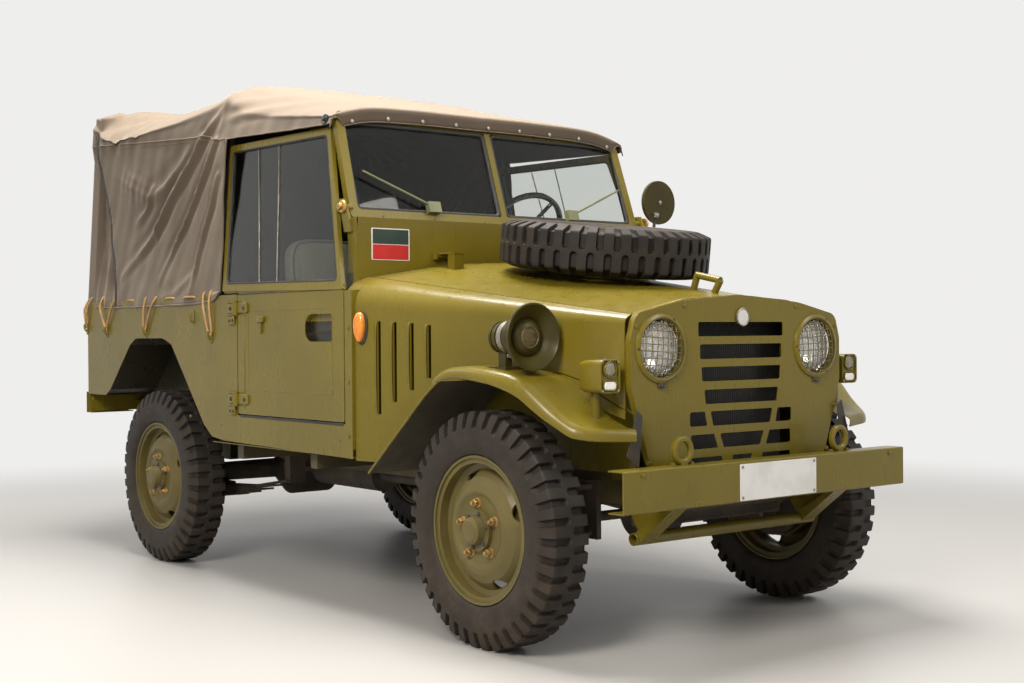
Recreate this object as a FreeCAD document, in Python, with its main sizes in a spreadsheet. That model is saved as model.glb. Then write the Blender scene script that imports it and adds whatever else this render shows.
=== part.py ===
import FreeCAD, Part
import os
from math import atan2, cos, degrees, hypot, radians, sin
from FreeCAD import Placement, Rotation, Vector

doc = FreeCAD.newDocument("army_car")

# ---- sizes, millimetres: X forward, Y to the left, Z up, ground at zero ----
table = [
    ("front_axle_x", 1227), ("wheelbase", 2200), ("half_track", 650), ("wheel_centre_z", 355),
    ("tyre_radius", 355), ("tyre_half", 80), ("tread_half", 62), ("rib_half", 28),
    ("shoulder_radius", 311), ("wall_radius", 265), ("lug_depth", 14), ("lug_count", 18),
    ("soft_gap", 0.3), ("rim_radius", 203), ("flange_radius", 222), ("rim_width", 124),
    ("disc_sheet", 4), ("disc_face", 58), ("ring_radius", 115), ("scallop_count", 4),
    ("scallop_radius", 34), ("hub_radius", 62), ("hub_bore", 19), ("stub_radius", 18.9),
    ("drum_radius", 142), ("nut_circle", 81), ("nut_size", 11), ("nut_count", 5),
    ("king_pin_y", 566), ("king_pin_radius", 11), ("fit_gap", 0.1), ("panel_gap", 6),
    ("skin", 3), ("half_width", 740), ("tub_rear_x", -1651), ("tub_top_z", 1092),
    ("bed_z", 640), ("cab_floor_z", 557), ("box_inner_y", 520),
    ("door_rear_x", -217), ("door_front_x", 528), ("door_low_z", 645), ("door_top_z", 1088),
    ("door_depth", 34), ("handle_recess", 22), ("post_front_x", 578), ("cowl_x", 527),
    ("cowl_top_z", 1335), ("bumper_x", 1760), ("bumper_half", 623), ("bumper_low_z", 439),
    ("bumper_high", 120), ("bumper_depth", 62), ("bumper_standoff", 70), ("brace_x", 1560),
    ("brace_z", 333), ("brace_radius", 19), ("brace_half", 400), ("brace_wall", 3),
    ("rail_y", 330), ("rail_wide", 56), ("rail_z", 424), ("rail_rear_x", -1640),
    ("lamp_y", 345.5), ("lamp_z", 891), ("lamp_radius", 100),
    ("screen_low_x", 474), ("screen_low_z", 1335), ("screen_top_x", 348), ("screen_top_z", 1718),
    ("screen_half", 672), ("screen_depth", 28), ("screen_border", 34), ("glass", 5),
    ("bonnet_rear_x", 536), ("bonnet_front_x", 1602), ("hinge_x", 541), ("hinge_z", 1212),
    ("pin_radius", 5), ("spare_x", 1012), ("spare_z", 1223), ("spare_tilt", 7.3),
    ("shackle_y", 350), ("shackle_bore", 24), ("mirror_radius", 87), ("cloth", 4),
    ("tube_radius", 13), ("steer_ring", 190), ("steer_grip", 12),
]
dims = doc.addObject("Spreadsheet::Sheet", "dims")
for row, (name, value) in enumerate(table, start=1):
    dims.set("A%d" % row, name)
    dims.set("B%d" % row, str(value))
    dims.setAlias("B%d" % row, name)
doc.recompute()


def size(name):
    return float(getattr(dims, name))


# ---- helpers that add document objects ----
def bind(item, prop, value):
    if isinstance(value, str):
        item.setExpression(prop, value)
    elif prop.startswith("Placement.Base"):
        base = item.Placement.Base
        setattr(base, prop[-1], float(value))
        item.Placement = Placement(base, item.Placement.Rotation)
    else:
        setattr(item, prop, float(value))


def box(name, corner, lengths):
    item = doc.addObject("Part::Box", name)
    for prop, value in zip(("Length", "Width", "Height"), lengths):
        bind(item, prop, value)
    for prop, value in zip("xyz", corner):
        bind(item, "Placement.Base." + prop, value)
    return item


AXES = {"x": Rotation(Vector(0, 1, 0), 90), "y": Rotation(Vector(1, 0, 0), -90),
        "z": Rotation()}


def cylinder(name, start, axis, radius, length):
    item = doc.addObject("Part::Cylinder", name)
    turn = AXES[axis] if isinstance(axis, str) else Rotation(Vector(0, 0, 1), Vector(*axis))
    item.Placement = Placement(Vector(), turn)
    bind(item, "Radius", radius)
    bind(item, "Height", length)
    for prop, value in zip("xyz", start):
        bind(item, "Placement.Base." + prop, value)
    return item


def rod(name, start, end, radius):
    a, b = Vector(*start), Vector(*end)
    return cylinder(name, start, tuple(b - a), radius, (b - a).Length)


def fuse(name, items):
    item = doc.addObject("Part::MultiFuse", name)
    item.Shapes = items
    return item


def cut(name, base, tools):
    item = doc.addObject("Part::Cut", name)
    item.Base = base
    item.Tool = tools[0] if len(tools) == 1 else fuse(name + "_tools", tools)
    return item


def origin_plane(body, role):
    return [f for f in body.Origin.OriginFeatures if f.Role == role][0]


def rounded(points, closed=True):
    # edges of a polygon whose corners (a, b, r) carry arcs of radius r
    n = len(points)
    ends, arcs = [], []
    for i in range(n):
        a, b = Vector(*points[i - 1][:2], 0), Vector(*points[i][:2], 0)
        c = Vector(*points[(i + 1) % n][:2], 0)
        r = points[i][2] if len(points[i]) > 2 else 0
        if r <= 0:
            ends.append((b, b))
            arcs.append(None)
            continue
        u, w = (a - b).normalize(), (c - b).normalize()
        half = u.getAngle(w) / 2
        back = r / (sin(half) / cos(half))
        mid = b + (u + w).normalize() * (r / sin(half) - r)
        ends.append((b + u * back, b + w * back))
        arcs.append(mid)
    edges = []
    for i in range(n):
        if arcs[i] is not None:
            edges.append(("arc", ends[i][0], arcs[i], ends[i][1]))
        nxt = ends[(i + 1) % n][0]
        if (nxt - ends[i][1]).Length > 1e-6:
            edges.append(("line", ends[i][1], nxt))
    return edges


def sketch_in(body, name, role, loops, offset=0):
    sk = body.newObject("Sketcher::SketchObject", name)
    sk.AttachmentSupport = [(origin_plane(body, role), "")]
    sk.MapMode = "FlatFace"
    sk.AttachmentOffset = Placement(Vector(0, 0, offset), Rotation())
    for loop in loops:
        if len(loop) == 3 and not hasattr(loop[0], "__len__"):
            sk.addGeometry(Part.Circle(Vector(loop[0], loop[1], 0), Vector(0, 0, 1), loop[2]))
            continue
        for edge in rounded(loop):
            if edge[0] == "line":
                sk.addGeometry(Part.LineSegment(edge[1], edge[2]))
            else:
                sk.addGeometry(Part.Arc(edge[1], edge[2], edge[3]))
    return sk


def pad(name, role, loops, start, length):
    # XY pads run up, XZ pads run towards -Y, YZ pads run forward
    body = doc.addObject("PartDesign::Body", name)
    sk = sketch_in(body, name + "_outline", role, loops, start)
    item = body.newObject("PartDesign::Pad", name + "_pad")
    item.Profile = sk
    bind(item, "Length", length)
    body.Tip = item
    return body


def turned(name, loop, place=None):
    # profile (along, radius) turned about the Y axis through place
    body = doc.addObject("PartDesign::Body", name)
    sk = sketch_in(body, name + "_outline", "YZ_Plane", [loop])
    item = body.newObject("PartDesign::Revolution", name + "_turn")
    item.Profile = sk
    item.ReferenceAxis = (sk, ["H_Axis"])
    item.Angle = 360
    body.Tip = item
    if place:
        body.Placement = place
    return body


def wire(points, x):
    # a closed wire across the car at x, from (y, z, corner radius) rows
    edges = []
    for edge in rounded(points):
        spots = [Vector(x, p.x, p.y) for p in edge[1:]]
        edges.append(Part.LineSegment(*spots).toShape() if edge[0] == "line"
                     else Part.Arc(*spots).toShape())
    return Part.Wire(edges)


def loft(name, sections, place=None):
    item = doc.addObject("Part::Feature", name)
    item.Shape = Part.makeLoft([wire(points, x) for x, points in sections], True, True)
    if place:
        item.Placement = place
    return item


nodes = []


def node(label, item):
    item.Label = label
    nodes.append(item)
    return item


# ---- wheels ----
R, tyre_half = size("tyre_radius"), size("tyre_half")
rim, flange, half = size("rim_radius"), size("flange_radius"), size("rim_width") / 2
axle_f, axle_r = size("front_axle_x"), size("front_axle_x") - size("wheelbase")
track, hub_z = size("half_track"), size("wheel_centre_z")
tread, shoulder, wall_r = size("tread_half"), size("shoulder_radius"), size("wall_radius")
soft = size("soft_gap")
facets = 2 * int(size("lug_count"))
bead = half - 5 - soft
bead_r = (rim + soft) / cos(radians(180.0 / facets))
seat_r = (flange + soft) / cos(radians(180.0 / facets))
# closed outline of the tyre as (along the axle, radius), and the slot between two lugs
tyre_rows = [(-bead, bead_r), (-bead, seat_r), (-tyre_half, wall_r), (1.5 - tyre_half, shoulder),
             (-tread, R), (tread, R), (tyre_half - 1.5, shoulder), (tyre_half, wall_r),
             (bead, seat_r), (bead, bead_r)]
slot_floor = R - size("lug_depth")
slot_rows = [(size("rib_half"), slot_floor), (tread - 5, slot_floor), (tyre_half - 2.6, shoulder + 3),
             (tyre_half + 15, shoulder + 3), (tyre_half + 15, R + 10), (size("rib_half"), R + 10)]


def spot(row, k):
    # a point of the outline on the k-th facet edge round the axle
    angle = radians(360.0 * k / facets)
    return Vector(row[1] * cos(angle), row[0], row[1] * sin(angle))


faces = []
for k in range(facets):
    for a, b in zip(tyre_rows, tyre_rows[1:] + tyre_rows[:1]):
        corners = [spot(a, k), spot(b, k), spot(b, k + 1), spot(a, k + 1)]
        faces.append(Part.Face(Part.makePolygon(corners + corners[:1])))
carcass = doc.addObject("Part::Feature", "carcass")
carcass.Shape = Part.makeSolid(Part.makeShell(faces))
lug_slots = []
for k in range(facets):
    rows = [(along if k % 2 else -along, radius) for along, radius in slot_rows]
    ends = [Part.makePolygon([spot(row, m) for row in rows + rows[:1]]) for m in (k, k + 1)]
    slot = doc.addObject("Part::Feature", "lug_slot_%d" % k)
    slot.Shape = Part.makeLoft(ends, True, True)
    lug_slots.append(slot)
tyre_model = cut("tyre_model", carcass, lug_slots)

sheet, dome, ring_r = size("disc_sheet"), size("disc_face"), size("ring_radius")
hub_r, bore_r, drum_r = size("hub_radius"), size("hub_bore"), size("drum_radius")
well = rim - 18
# rim, pressed disc and hub outlines as (along the axle, radius), positive outboard
rim_rows = [(-half - 6, flange), (-half + 5, flange), (-half + 5, rim), (-27, rim), (-23, well),
            (23, well), (27, rim), (half - 5, rim), (half - 5, flange), (half + 6, flange),
            (half + 6, flange - 8), (half - 1, flange - 8), (half - 1, rim - 4), (30, rim - 4),
            (26, well - 4)]
disc_out = [(30, rim - 27), (48, rim - 45), (dome + 3, ring_r + 17),
            (dome + 7, ring_r + 3), (dome + 7, ring_r - 3), (dome, ring_r - 16)]
disc_in = [(dome - sheet, ring_r - 14), (dome + 3, ring_r), (dome - 1, ring_r + 15),
           (45, rim - 49), (27, rim - 32), (10, well - 4)]
rim_back = [(-26, well - 4), (-30, rim - 4), (-half + 1, rim - 4), (-half + 1, flange - 8),
            (-half - 6, flange - 8)]
hub_rows = [(dome, hub_r), (dome + 14, hub_r), (dome + 14, hub_r - 18), (dome + 36, hub_r - 22),
            (dome + 42, 30), (dome + 42, 0), (dome + 36, 0), (dome + 36, bore_r), (-24, bore_r),
            (-24, 46), (17, 46), (17, drum_r - 8), (-24, drum_r - 8), (-24, drum_r), (24, drum_r),
            (24, 46), (dome - sheet, 46)]
road_disc = turned("road_disc", rim_rows + disc_out + hub_rows + disc_in + rim_back)
plain_disc = turned("plain_disc", rim_rows + disc_out + [(dome, 46), (dome - sheet, 46)] + disc_in + rim_back)
scallops = []
for k in range(int(size("scallop_count"))):
    a = radians(68 + k * 360.0 / size("scallop_count"))
    bite = doc.addObject("Part::MultiCommon", "scallop_%d" % k)
    bite.Shapes = [cylinder("scallop_round_%d" % k, (188 * cos(a), 4, 188 * sin(a)), "y",
                            "dims.scallop_radius", dome + 30),
                   cylinder("scallop_limit_%d" % k, (0, 4, 0), "y", well - 6, dome + 30)]
    scallops.append(bite)
nuts = []
for k in range(int(size("nut_count"))):
    a = radians(85 + 360.0 / size("nut_count") * k)
    nut = doc.addObject("Part::Prism", "nut_%d" % k)
    nut.Polygon = 6
    bind(nut, "Circumradius", "dims.nut_size")
    bind(nut, "Height", 17)
    nut.Placement = Placement(Vector(size("nut_circle") * cos(a), dome - 1, size("nut_circle") * sin(a)), AXES["y"])
    nuts.append(nut)
    nuts.append(cylinder("stud_%d" % k, tuple(nut.Placement.Base), "y", "dims.nut_size/2", 26))
wheel_model = fuse("wheel_model", [cut("road_cut", road_disc, scallops)] + nuts)
spare_model = cut("spare_model", plain_disc, scallops)
doc.recompute()


def placed(name, source, where, turn=None):
    item = doc.addObject("Part::Feature", name)
    item.Shape = source.Shape.copy()
    item.Placement = Placement(Vector(*where), turn or Rotation())
    return item


outward = Rotation(Vector(0, 0, 1), 180)
for end, x in (("front", axle_f), ("rear", axle_r)):
    for side, sign in (("right", -1), ("left", 1)):
        turn = outward if sign < 0 else Rotation()
        where = (x, sign * track, hub_z)
        node("wheel_%s_%s" % (end, side), placed("wheel_%s_%s" % (end, side), wheel_model, where, turn))
        node("tyre_%s_%s" % (end, side), placed("tyre_%s_%s" % (end, side), tyre_model, where, turn))
        nodes[-1].setExpression("Placement.Base.z", "dims.wheel_centre_z")
        nodes[-2].setExpression("Placement.Base.z", "dims.wheel_centre_z")

# ---- frame ----
rail_y, rail_w, rail_z = (size(n) for n in ("rail_y", "rail_wide", "rail_z"))
x0, x1 = size("rail_rear_x"), size("bumper_x") - size("bumper_standoff")


def rail(name, sign):
    # side member: drops under the cab, kicks up over the rear axle
    pts = [(x0, 560), (axle_r - 327, 560), (axle_r - 177, 590), (axle_r + 173, 590),
           (axle_r + 413, rail_z + 96), (x1, rail_z + 96), (x1, rail_z), (axle_r + 433, rail_z),
           (axle_r + 193, 494), (axle_r - 197, 494), (axle_r - 347, 466), (x0, 466)]
    return pad(name, "XZ_Plane", [pts], -sign * rail_y - rail_w / 2, "dims.rail_wide")


cross = [box("cross_%d" % k, (x, -rail_y, z), (60, 2 * rail_y, 60))
         for k, (x, z) in enumerate(((x1 - 90, 440), (1010, 430), (60, 436), (axle_r + 413, 440),
                                        (x0 + 10, 480)))]
tank = box("tank_body", (x0 + 50, -260, 380), (380, 520, 150))
brackets = []
for k, x in enumerate((-300, 240)):
    for sign in (-1, 1):
        y = sign * rail_y if sign > 0 else -size("half_width") + 40
        brackets.append(box("sill_bracket_%d_%d" % (k, sign), (x, y, 470), (44, 700 - rail_y, 50)))
node("chassis_frame", fuse("frame_fuse", [rail("rail_right", -1), rail("rail_left", 1)] + cross
                           + brackets + [tank]))

# ---- bumpers ----
bx, bh, bl, bhi = (size(n) for n in ("bumper_x", "bumper_half", "bumper_low_z", "bumper_high"))
bd, sk3 = size("bumper_depth"), size("skin")
channel = pad("bumper_channel", "XZ_Plane", [[
    (bx - bd, bl), (bx, bl, 5), (bx, bl + bhi, 5), (bx - bd, bl + bhi), (bx - bd, bl + bhi - 4),
    (bx - 4, bl + bhi - 4), (bx - 4, bl + 4), (bx - bd, bl + 4)]], -bh, 2 * bh)
horns = [box("bumper_horn_%d" % s, (x1, s * rail_y - 28, bl), (bx - 4 - x1, 56, 80)) for s in (-1, 1)]
loops = []
eye_r = size("shackle_bore")
for s in (-1, 1):
    eye_at = Vector(bx - 45, s * size("shackle_y"), bl + bhi + 40)
    loops.append(turned("shackle_ring_%d" % s, [
        (-5, eye_r), (5, eye_r), (9, eye_r + 5), (9, eye_r + 13), (5, eye_r + 18), (-5, eye_r + 18),
        (-9, eye_r + 13), (-9, eye_r + 5)], Placement(eye_at, Rotation(Vector(0, 0, 1), -90))))
    loops.append(box("shackle_foot_%d" % s, (bx - 54, s * size("shackle_y") - 12, bl + bhi - 3), (18, 24, 8)))
node("front_bumper", fuse("bumper_fuse", [channel] + horns + loops))

tube = cylinder("brace_tube", ("dims.brace_x", "-dims.brace_half", "dims.brace_z"), "y",
                "dims.brace_radius", "2*dims.brace_half")
bore = cylinder("brace_bore", ("dims.brace_x", -bh, "dims.brace_z"), "y", "dims.brace_radius-dims.brace_wall", 2 * bh)
struts = []
for s in (-1, 1):
    ax, az = size("brace_x"), size("brace_z")
    struts.append(pad("brace_strut_%d" % s, "XZ_Plane", [[
        (ax - 4, az + 8), (ax + 16, az - 11), (bx - 6, bl - 8), (bx - 6, bl), (bx - 38, bl)]],
        -s * rail_y - 30, 60))
    struts.append(pad("brace_hanger_%d" % s, "XZ_Plane", [[
        (ax - 30, rail_z), (ax + 40, rail_z), (ax + 20, az + 14), (ax - 15, az + 14)]], -s * rail_y - 5, 10))
node("bumper_brace", cut("brace_open", fuse("brace_fuse", [tube] + struts), [bore]))

rear = []
for s in (-1, 1):
    y = -705 if s < 0 else 505
    rear.append(pad("rear_bumper_%d" % s, "XZ_Plane", [[
        (-1760, 590), (-1700, 590), (-1700, 594), (-1756, 594), (-1756, 681), (-1700, 681),
        (-1700, 685), (-1760, 685)]], -y - 200, 200))
    rear.append(box("rear_bumper_arm_%d" % s, (-1757, s * 560 - 20, 610), (106, 40, 50)))
hook = turned("tow_eye", [(-12, 22), (-12, 44), (12, 44), (12, 22)],
              Placement(Vector(-1716, 0, 510), Rotation()))
rear += [hook, box("tow_shank", (-1676, -14, 488), (46, 28, 44))]
node("rear_bumpers", fuse("rear_bumper_fuse", rear))

# ---- tub ----
hw, skin = size("half_width"), size("skin")
tub_x, tub_top, bed = size("tub_rear_x"), size("tub_top_z"), size("bed_z")
door_r, door_f, low = size("door_rear_x"), size("door_front_x"), size("door_low_z")
gap = size("panel_gap")
post_x = size("post_front_x")
arch_rows = [(-478, 682, 20), (-433, 705, 30), (-222, 900, 40), (-162, 929, 60), (103, 929, 60),
             (183, 905, 40), (473, 590, 30), (540, 548, 40), (643, 538, 0)]
arch = [(axle_r + x, z, r) for x, z, r in arch_rows]
side_loop = [(tub_x, 682)] + arch + [(post_x, 526), (post_x, tub_top - 7), (door_f + gap, tub_top - 7),
                                      (door_f + gap, low - gap), (door_r - gap, low - gap),
                                      (door_r - gap, tub_top), (tub_x, tub_top)]


def tub_side(s):
    start = -s * hw if s > 0 else hw - skin
    return pad("tub_side_%s" % ("l" if s > 0 else "r"), "XZ_Plane", [side_loop], start, "dims.skin")


inner_y = size("box_inner_y")
arch_out = [(x, z) for x, z, r in arch[:-1]]
arch_top = [(x + 2, z + skin) for x, z in reversed(arch_out)]
wells = []
for s in (-1, 1):
    y = -hw + 1 if s < 0 else inner_y
    shelf = pad("well_top_%d" % s, "XZ_Plane", [arch_out + arch_top], -(y + hw - inner_y - 1), hw - inner_y - 1)
    wall = pad("well_wall_%d" % s, "XZ_Plane", [[(axle_r - 480, 640)] + arch_out + [(axle_r + 540, 520),
                                                                                  (axle_r - 127, 600)]],
               -s * inner_y - (skin if s > 0 else 0), "dims.skin")
    wells += [shelf, wall]
step_x, cab_z = axle_r + 530, size("cab_floor_z")
floor = [box("bed_floor", (tub_x, -inner_y - 1, bed), (step_x + skin - tub_x, 2 * inner_y + 2, skin)),
         box("bed_rim_r", (tub_x, -hw + 1, 679), (axle_r - 473 - tub_x, hw - inner_y, skin)),
         box("bed_rim_l", (tub_x, inner_y - 1, 679), (axle_r - 473 - tub_x, hw - inner_y, skin)),
         box("bed_step", (step_x, -hw + 2, cab_z), (skin, 2 * hw - 4, bed - cab_z + skin)),
         box("cab_floor", (step_x, -hw + 2, cab_z), (post_x - 1 - step_x, 2 * hw - 4, skin)),
         box("sill_flange_r", (step_x + 13, -hw + 1, 528), (post_x - step_x - 13, 30, skin)),
         box("sill_flange_l", (step_x + 13, hw - 31, 528), (post_x - step_x - 13, 30, skin))]
rear_panel = cut("rear_panel", box("rear_sheet", (tub_x, -hw + 1, bed - 40), (skin, 2 * hw - 2, tub_top - bed + 40)),
                 [box("gate_hole", (tub_x - 5, -430, bed + skin + 1), (20, 860, 600))])
rims = [box("top_rim_%d" % k, (tub_x, y, tub_top - 16), (door_r - gap - tub_x, 8, 16))
        for k, y in enumerate((-hw + 1, hw - 9))]
pin_r, fit = size("pin_radius"), size("fit_gap")
door_pin = (door_r - gap / 2, hw + 10)
hinge_levels = (700, 1040)
for s in (-1, 1):
    for k, z in enumerate(hinge_levels):
        tag = "%d_%d" % (k, s)
        rims.append(cylinder("tub_pin_" + tag, (door_pin[0], s * door_pin[1], z - 26), "z", "dims.pin_radius", 52))
        for m, lift in enumerate((-26, 20)):
            rims.append(cylinder("tub_ear_%s_%d" % (tag, m), (door_pin[0], s * door_pin[1], z + lift), "z", 9, 6))
            rims.append(box("tub_leaf_%s_%d" % (tag, m), (door_pin[0] - 74, hw if s > 0 else -hw - 7, z + lift),
                            (74, 7, 6)))
        rims.append(box("tub_plate_" + tag, (door_pin[0] - 74, hw if s > 0 else -hw - 3, z - 26), (62, 3, 52)))
gate_pin = (tub_x - 9, bed + 4)
for k, y in enumerate((-310, 310)):
    rims.append(cylinder("gate_pin_%d" % k, (gate_pin[0], y - 34, gate_pin[1]), "y", "dims.pin_radius", 68))
    for m, off in enumerate((-34, 26)):
        rims.append(box("gate_ear_%d_%d" % (k, m), (gate_pin[0] - 8, y + off, gate_pin[1] - 18), (18, 8, 26)))
node("tub", fuse("tub_fuse", [tub_side(-1), tub_side(1), rear_panel] + wells + floor + rims))

# ---- cowl, firewall, dashboard ----
cx, ct = size("cowl_x"), size("cowl_top_z")
cowl_loop = [(-698, 1100), (-698, 1145, 40), (-684, 1290, 60), (-676, ct, 10),
             (676, ct, 10), (684, 1290, 60), (698, 1145, 40), (698, 1100)]
face = pad("cowl_face", "YZ_Plane", [cowl_loop], cx - skin, "dims.skin")
top_sheet = box("cowl_top", (478, -676, ct - skin), (cx - 479, 1352, skin))
corner = [box("cowl_joggle", (478, -640, 1318), (skin, 1280, 16)),
          box("firewall", (560, -686, 560), (skin, 1372, 543)),
          box("cowl_ledge", (cx - skin, -686, 1100), (39, 1372, skin))]
for k, y in enumerate((-340, 340)):
    corner.append(cylinder("hood_pin_%d" % k, ("dims.hinge_x", y - 34, "dims.hinge_z"), "y", "dims.pin_radius", 68))
    for m, off in enumerate((-34, 26)):
        corner.append(box("hood_ear_%d_%d" % (k, m), (cx - 1, y + off, size("hinge_z") - 14), (24, 8, 26)))
for s in (-1, 1):
    y = -700 if s < 0 else 697
    corner.append(pad("cowl_side_%d" % s, "XZ_Plane", [[
        (door_f + gap, tub_top - 10), (cx + 8, 1086), (cx, 1120), (cx, ct), (cx - 40, ct),
        (456, ct - 18), (538, 1096)]], -s * 684 - (skin if s > 0 else 0), skin))
    corner.append(box("post_%d" % s, (door_f + gap, -hw + skin if s < 0 else hw - 43, 560), (44, 40, 525)))
    corner.append(box("post_head_%d" % s, (door_f + gap, -698 if s < 0 else 684, 1080), (20, 14, 16)))
dash = pad("dash_face", "XZ_Plane", [[(400, 1150), (440, 1150), (525, 1290), (525, 1320), (430, 1320),
                                      (400, 1300, 15)]], -640, 1280)
column_turn = Rotation(Vector(0, 1, 0), 90 + 35)
column_axis = column_turn.multVec(Vector(0, 0, 1))
wheel_at = Vector(120, 350, 1330)
column_foot = wheel_at + column_axis * 60
column = cut("steer_column", rod("column_tube", tuple(column_foot), tuple(wheel_at + column_axis * 545), 19),
             [rod("column_bore", tuple(wheel_at), tuple(wheel_at + column_axis * 120), pin_r * 2 + fit)])
node("cowl", fuse("cowl_fuse", [face, top_sheet, dash, column] + corner))

# ---- front wings ----
bon_r, bon_f = size("bonnet_rear_x"), size("bonnet_front_x")


lip = [(741, 542), (983, 740), (1062, 793), (1111, 807), (1201, 806), (1303, 795), (1382, 779),
       (1440, 760), (1496, 726), (1551, 705), (1632, 679), (1692, 657)]
ridge = [(1690, 690), (1640, 703), (1588, 723), (1507, 767), (1451, 801), (1394, 818), (1255, 833),
         (1119, 835), (1053, 815)]


seats_on = []


def wing(s):
    tag = "l" if s > 0 else "r"
    back = [(640, 1133, 0), (740, 1105, 95), (740, 520, 0), (737, 520, 0), (737, 1101, 91), (640, 1130, 0)]
    fore = [(440, 991, 0), (467, 978, 26), (467, 520, 0), (464, 520, 0), (464, 975, 23), (440, 988, 0)]
    side = loft("side_%s" % tag, [(cx + 4, [(s * y, z, r) for y, z, r in back]),
                                  (bon_f, [(s * y, z, r) for y, z, r in fore])])
    arch_cut = pad("arch_%s" % tag, "XZ_Plane", [lip + [(1800, 640), (1800, 400), (700, 400)]],
                   -900 if s > 0 else 300, 600)
    slots = []
    for k, (x, z0, z1) in enumerate(((719, 677, 981), (812, 719, 977), (907, 758, 973), (1002, 798, 966))):
        slots.append(box("louvre_%s_%d" % (tag, k), (x - 6, 500 if s > 0 else -800, z0), (12, 300, z1 - z0)))
    foot = box("foot_%s" % tag, (500, -900 if s < 0 else 300, 500), (post_x - 498.5, 600, 586.5))
    panel = cut("panel_%s" % tag, side, [arch_cut, foot] + slots)
    outer = pad("wing_block_%s" % tag, "XZ_Plane", [lip[2:] + ridge], -740 if s > 0 else 450, 290)
    plan = pad("wing_plan_%s" % tag, "XY_Plane", [[
        (1040, s * 600), (1040, s * 740), (1300, s * 740, 60), (1500, s * 728, 80), (1700, s * 705, 90),
        (1700, s * 455), (1570, s * 455)]], 600, 300)
    shell = doc.addObject("Part::MultiCommon", "wing_shape_%s" % tag)
    shell.Shapes = [outer, plan]
    lower = [(x, z - 60) for x, z in lip[2:]] + [(x - 3, z - 3.2) for x, z in ridge]
    hollow = pad("wing_hollow_%s" % tag, "XZ_Plane", [lower], -737 if s > 0 else 400, 337)
    plan_in = pad("wing_plan_in_%s" % tag, "XY_Plane", [[
        (1030, s * 590), (1030, s * 736.5), (1300, s * 736.5, 58), (1499, s * 724.5, 78), (1696, s * 702, 88),
        (1696, s * 440), (1570, s * 440)]], 560, 340)
    core = doc.addObject("Part::MultiCommon", "wing_core_%s" % tag)
    core.Shapes = [hollow, plan_in]
    shelf = cut("shelf_%s" % tag, shell, [core])
    apron = box("apron_%s" % tag, (600, -388 if s < 0 else 385, 520), (960, 3, 295))
    bridge = box("bridge_%s" % tag, (1080, -480 if s < 0 else 386, 812), (480, 94, 3))
    stays = [box("wing_stay_%s_%d" % (tag, k), (x, -388 if s < 0 else 358, 500), (40, 30, 20))
             for k, x in enumerate((700, 1460))]
    if s < 0:
        seats_on.append(shell)
    else:
        seats_on.insert(0, shell)
    return [panel, shelf, apron, bridge] + stays


node("front_wings", fuse("wings_fuse", wing(-1) + wing(1)))

# ---- grille panel ----
grille_loop = [(-362, 520, 20), (-394, 560, 60), (-467, 783, 60), (-467, 917, 60), (-445, 992, 40),
               (-266, 1030, 300), (0, 1052, 900), (266, 1030, 300), (445, 992, 40), (467, 917, 60),
               (467, 783, 60), (394, 560, 60), (362, 520, 20)]
grille = pad("grille_sheet", "YZ_Plane", [grille_loop], bon_f + 3, 22)
slots = []
rows = ((925, 968, 190, 190), (857, 901, 183, 183), (790, 833, 174, 178), (722, 765, 160, 166),
        (656, 700, 128, 140), (589, 632, 82, 100), (532, 564, 36, 48))
for k, (z0, z1, low_y, top_y) in enumerate(rows):
    slots.append(pad("slot_%d" % k, "YZ_Plane", [[(-low_y, z0, 6), (low_y, z0, 6), (top_y, z1, 6),
                                                  (-top_y, z1, 6)]], bon_f - 100, 300))
for k, (z0, z1, low_y, top_y, out_y) in enumerate(((657, 700, 152, 163, 228), (589, 632, 106, 124, 224),
                                                   (532, 564, 78, 92, 222))):
    for s in (-1, 1):
        slots.append(pad("side_slot_%d_%d" % (k, s), "YZ_Plane", [[(s * low_y, z0, 5), (s * out_y, z0, 8),
                                                                   (s * out_y, z1, 8), (s * top_y, z1, 5)]],
                         bon_f - 100, 300))
back_cut = pad("grille_back", "YZ_Plane", [[(y * 0.985, 779 + (z - 779) * 0.985, r) for y, z, r in grille_loop]],
               bon_f - 2, 24)
for s in (-1, 1):
    slots.append(cylinder("lamp_hole_%d" % s, (bon_f - 100, s * size("lamp_y"), "dims.lamp_z"), "x",
                          "dims.lamp_radius-6", 300))
badge = cylinder("badge_disc", (bon_f + 24, 0, 983), "x", 27, 5)
node("grille_panel", fuse("grille_fuse", [cut("grille_open", grille, [back_cut] + slots), badge]))

node("radiator", fuse("radiator_fuse", [box("core", (1500, -250, 540), (60, 500, 440)),
                                        box("core_foot_r", (1510, -302, 500), (40, 100, 42)),
                                        box("core_foot_l", (1510, 202, 500), (40, 100, 42))]))
node("engine", fuse("engine_fuse", [box("block", (880, -190, 496), (540, 380, 450)),
                                    box("mount_r", (1090, -302, 500), (60, 120, 40)),
                                    box("mount_l", (1090, 182, 500), (60, 120, 40))]))

# ---- drive line ----
parts = [pad("gearbox", "XZ_Plane", [[(880, 700), (880, 420), (700, 400), (360, 400), (300, 440), (300, 553),
                                      (585, 553), (700, 640)]], -110, 220),
         box("transfer", (120, -170, 380), (200, 300, 160)),
         box("gear_mount", (70, -110, 496), (90, 220, 20)),
         rod("prop_rear", (125, 60, 404), (axle_r + 204, 0, 356), 26),
         cylinder("prop_rear_yoke", (axle_r + 190, 0, 356), "x", 45, 18),
         rod("prop_front", (310, 130, 400), (axle_f - 160, 60, 352), 22),
         cylinder("prop_front_yoke", (axle_f - 168, 60, 352), "x", 38, 18)]
node("transmission", fuse("drive_fuse", parts))

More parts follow.
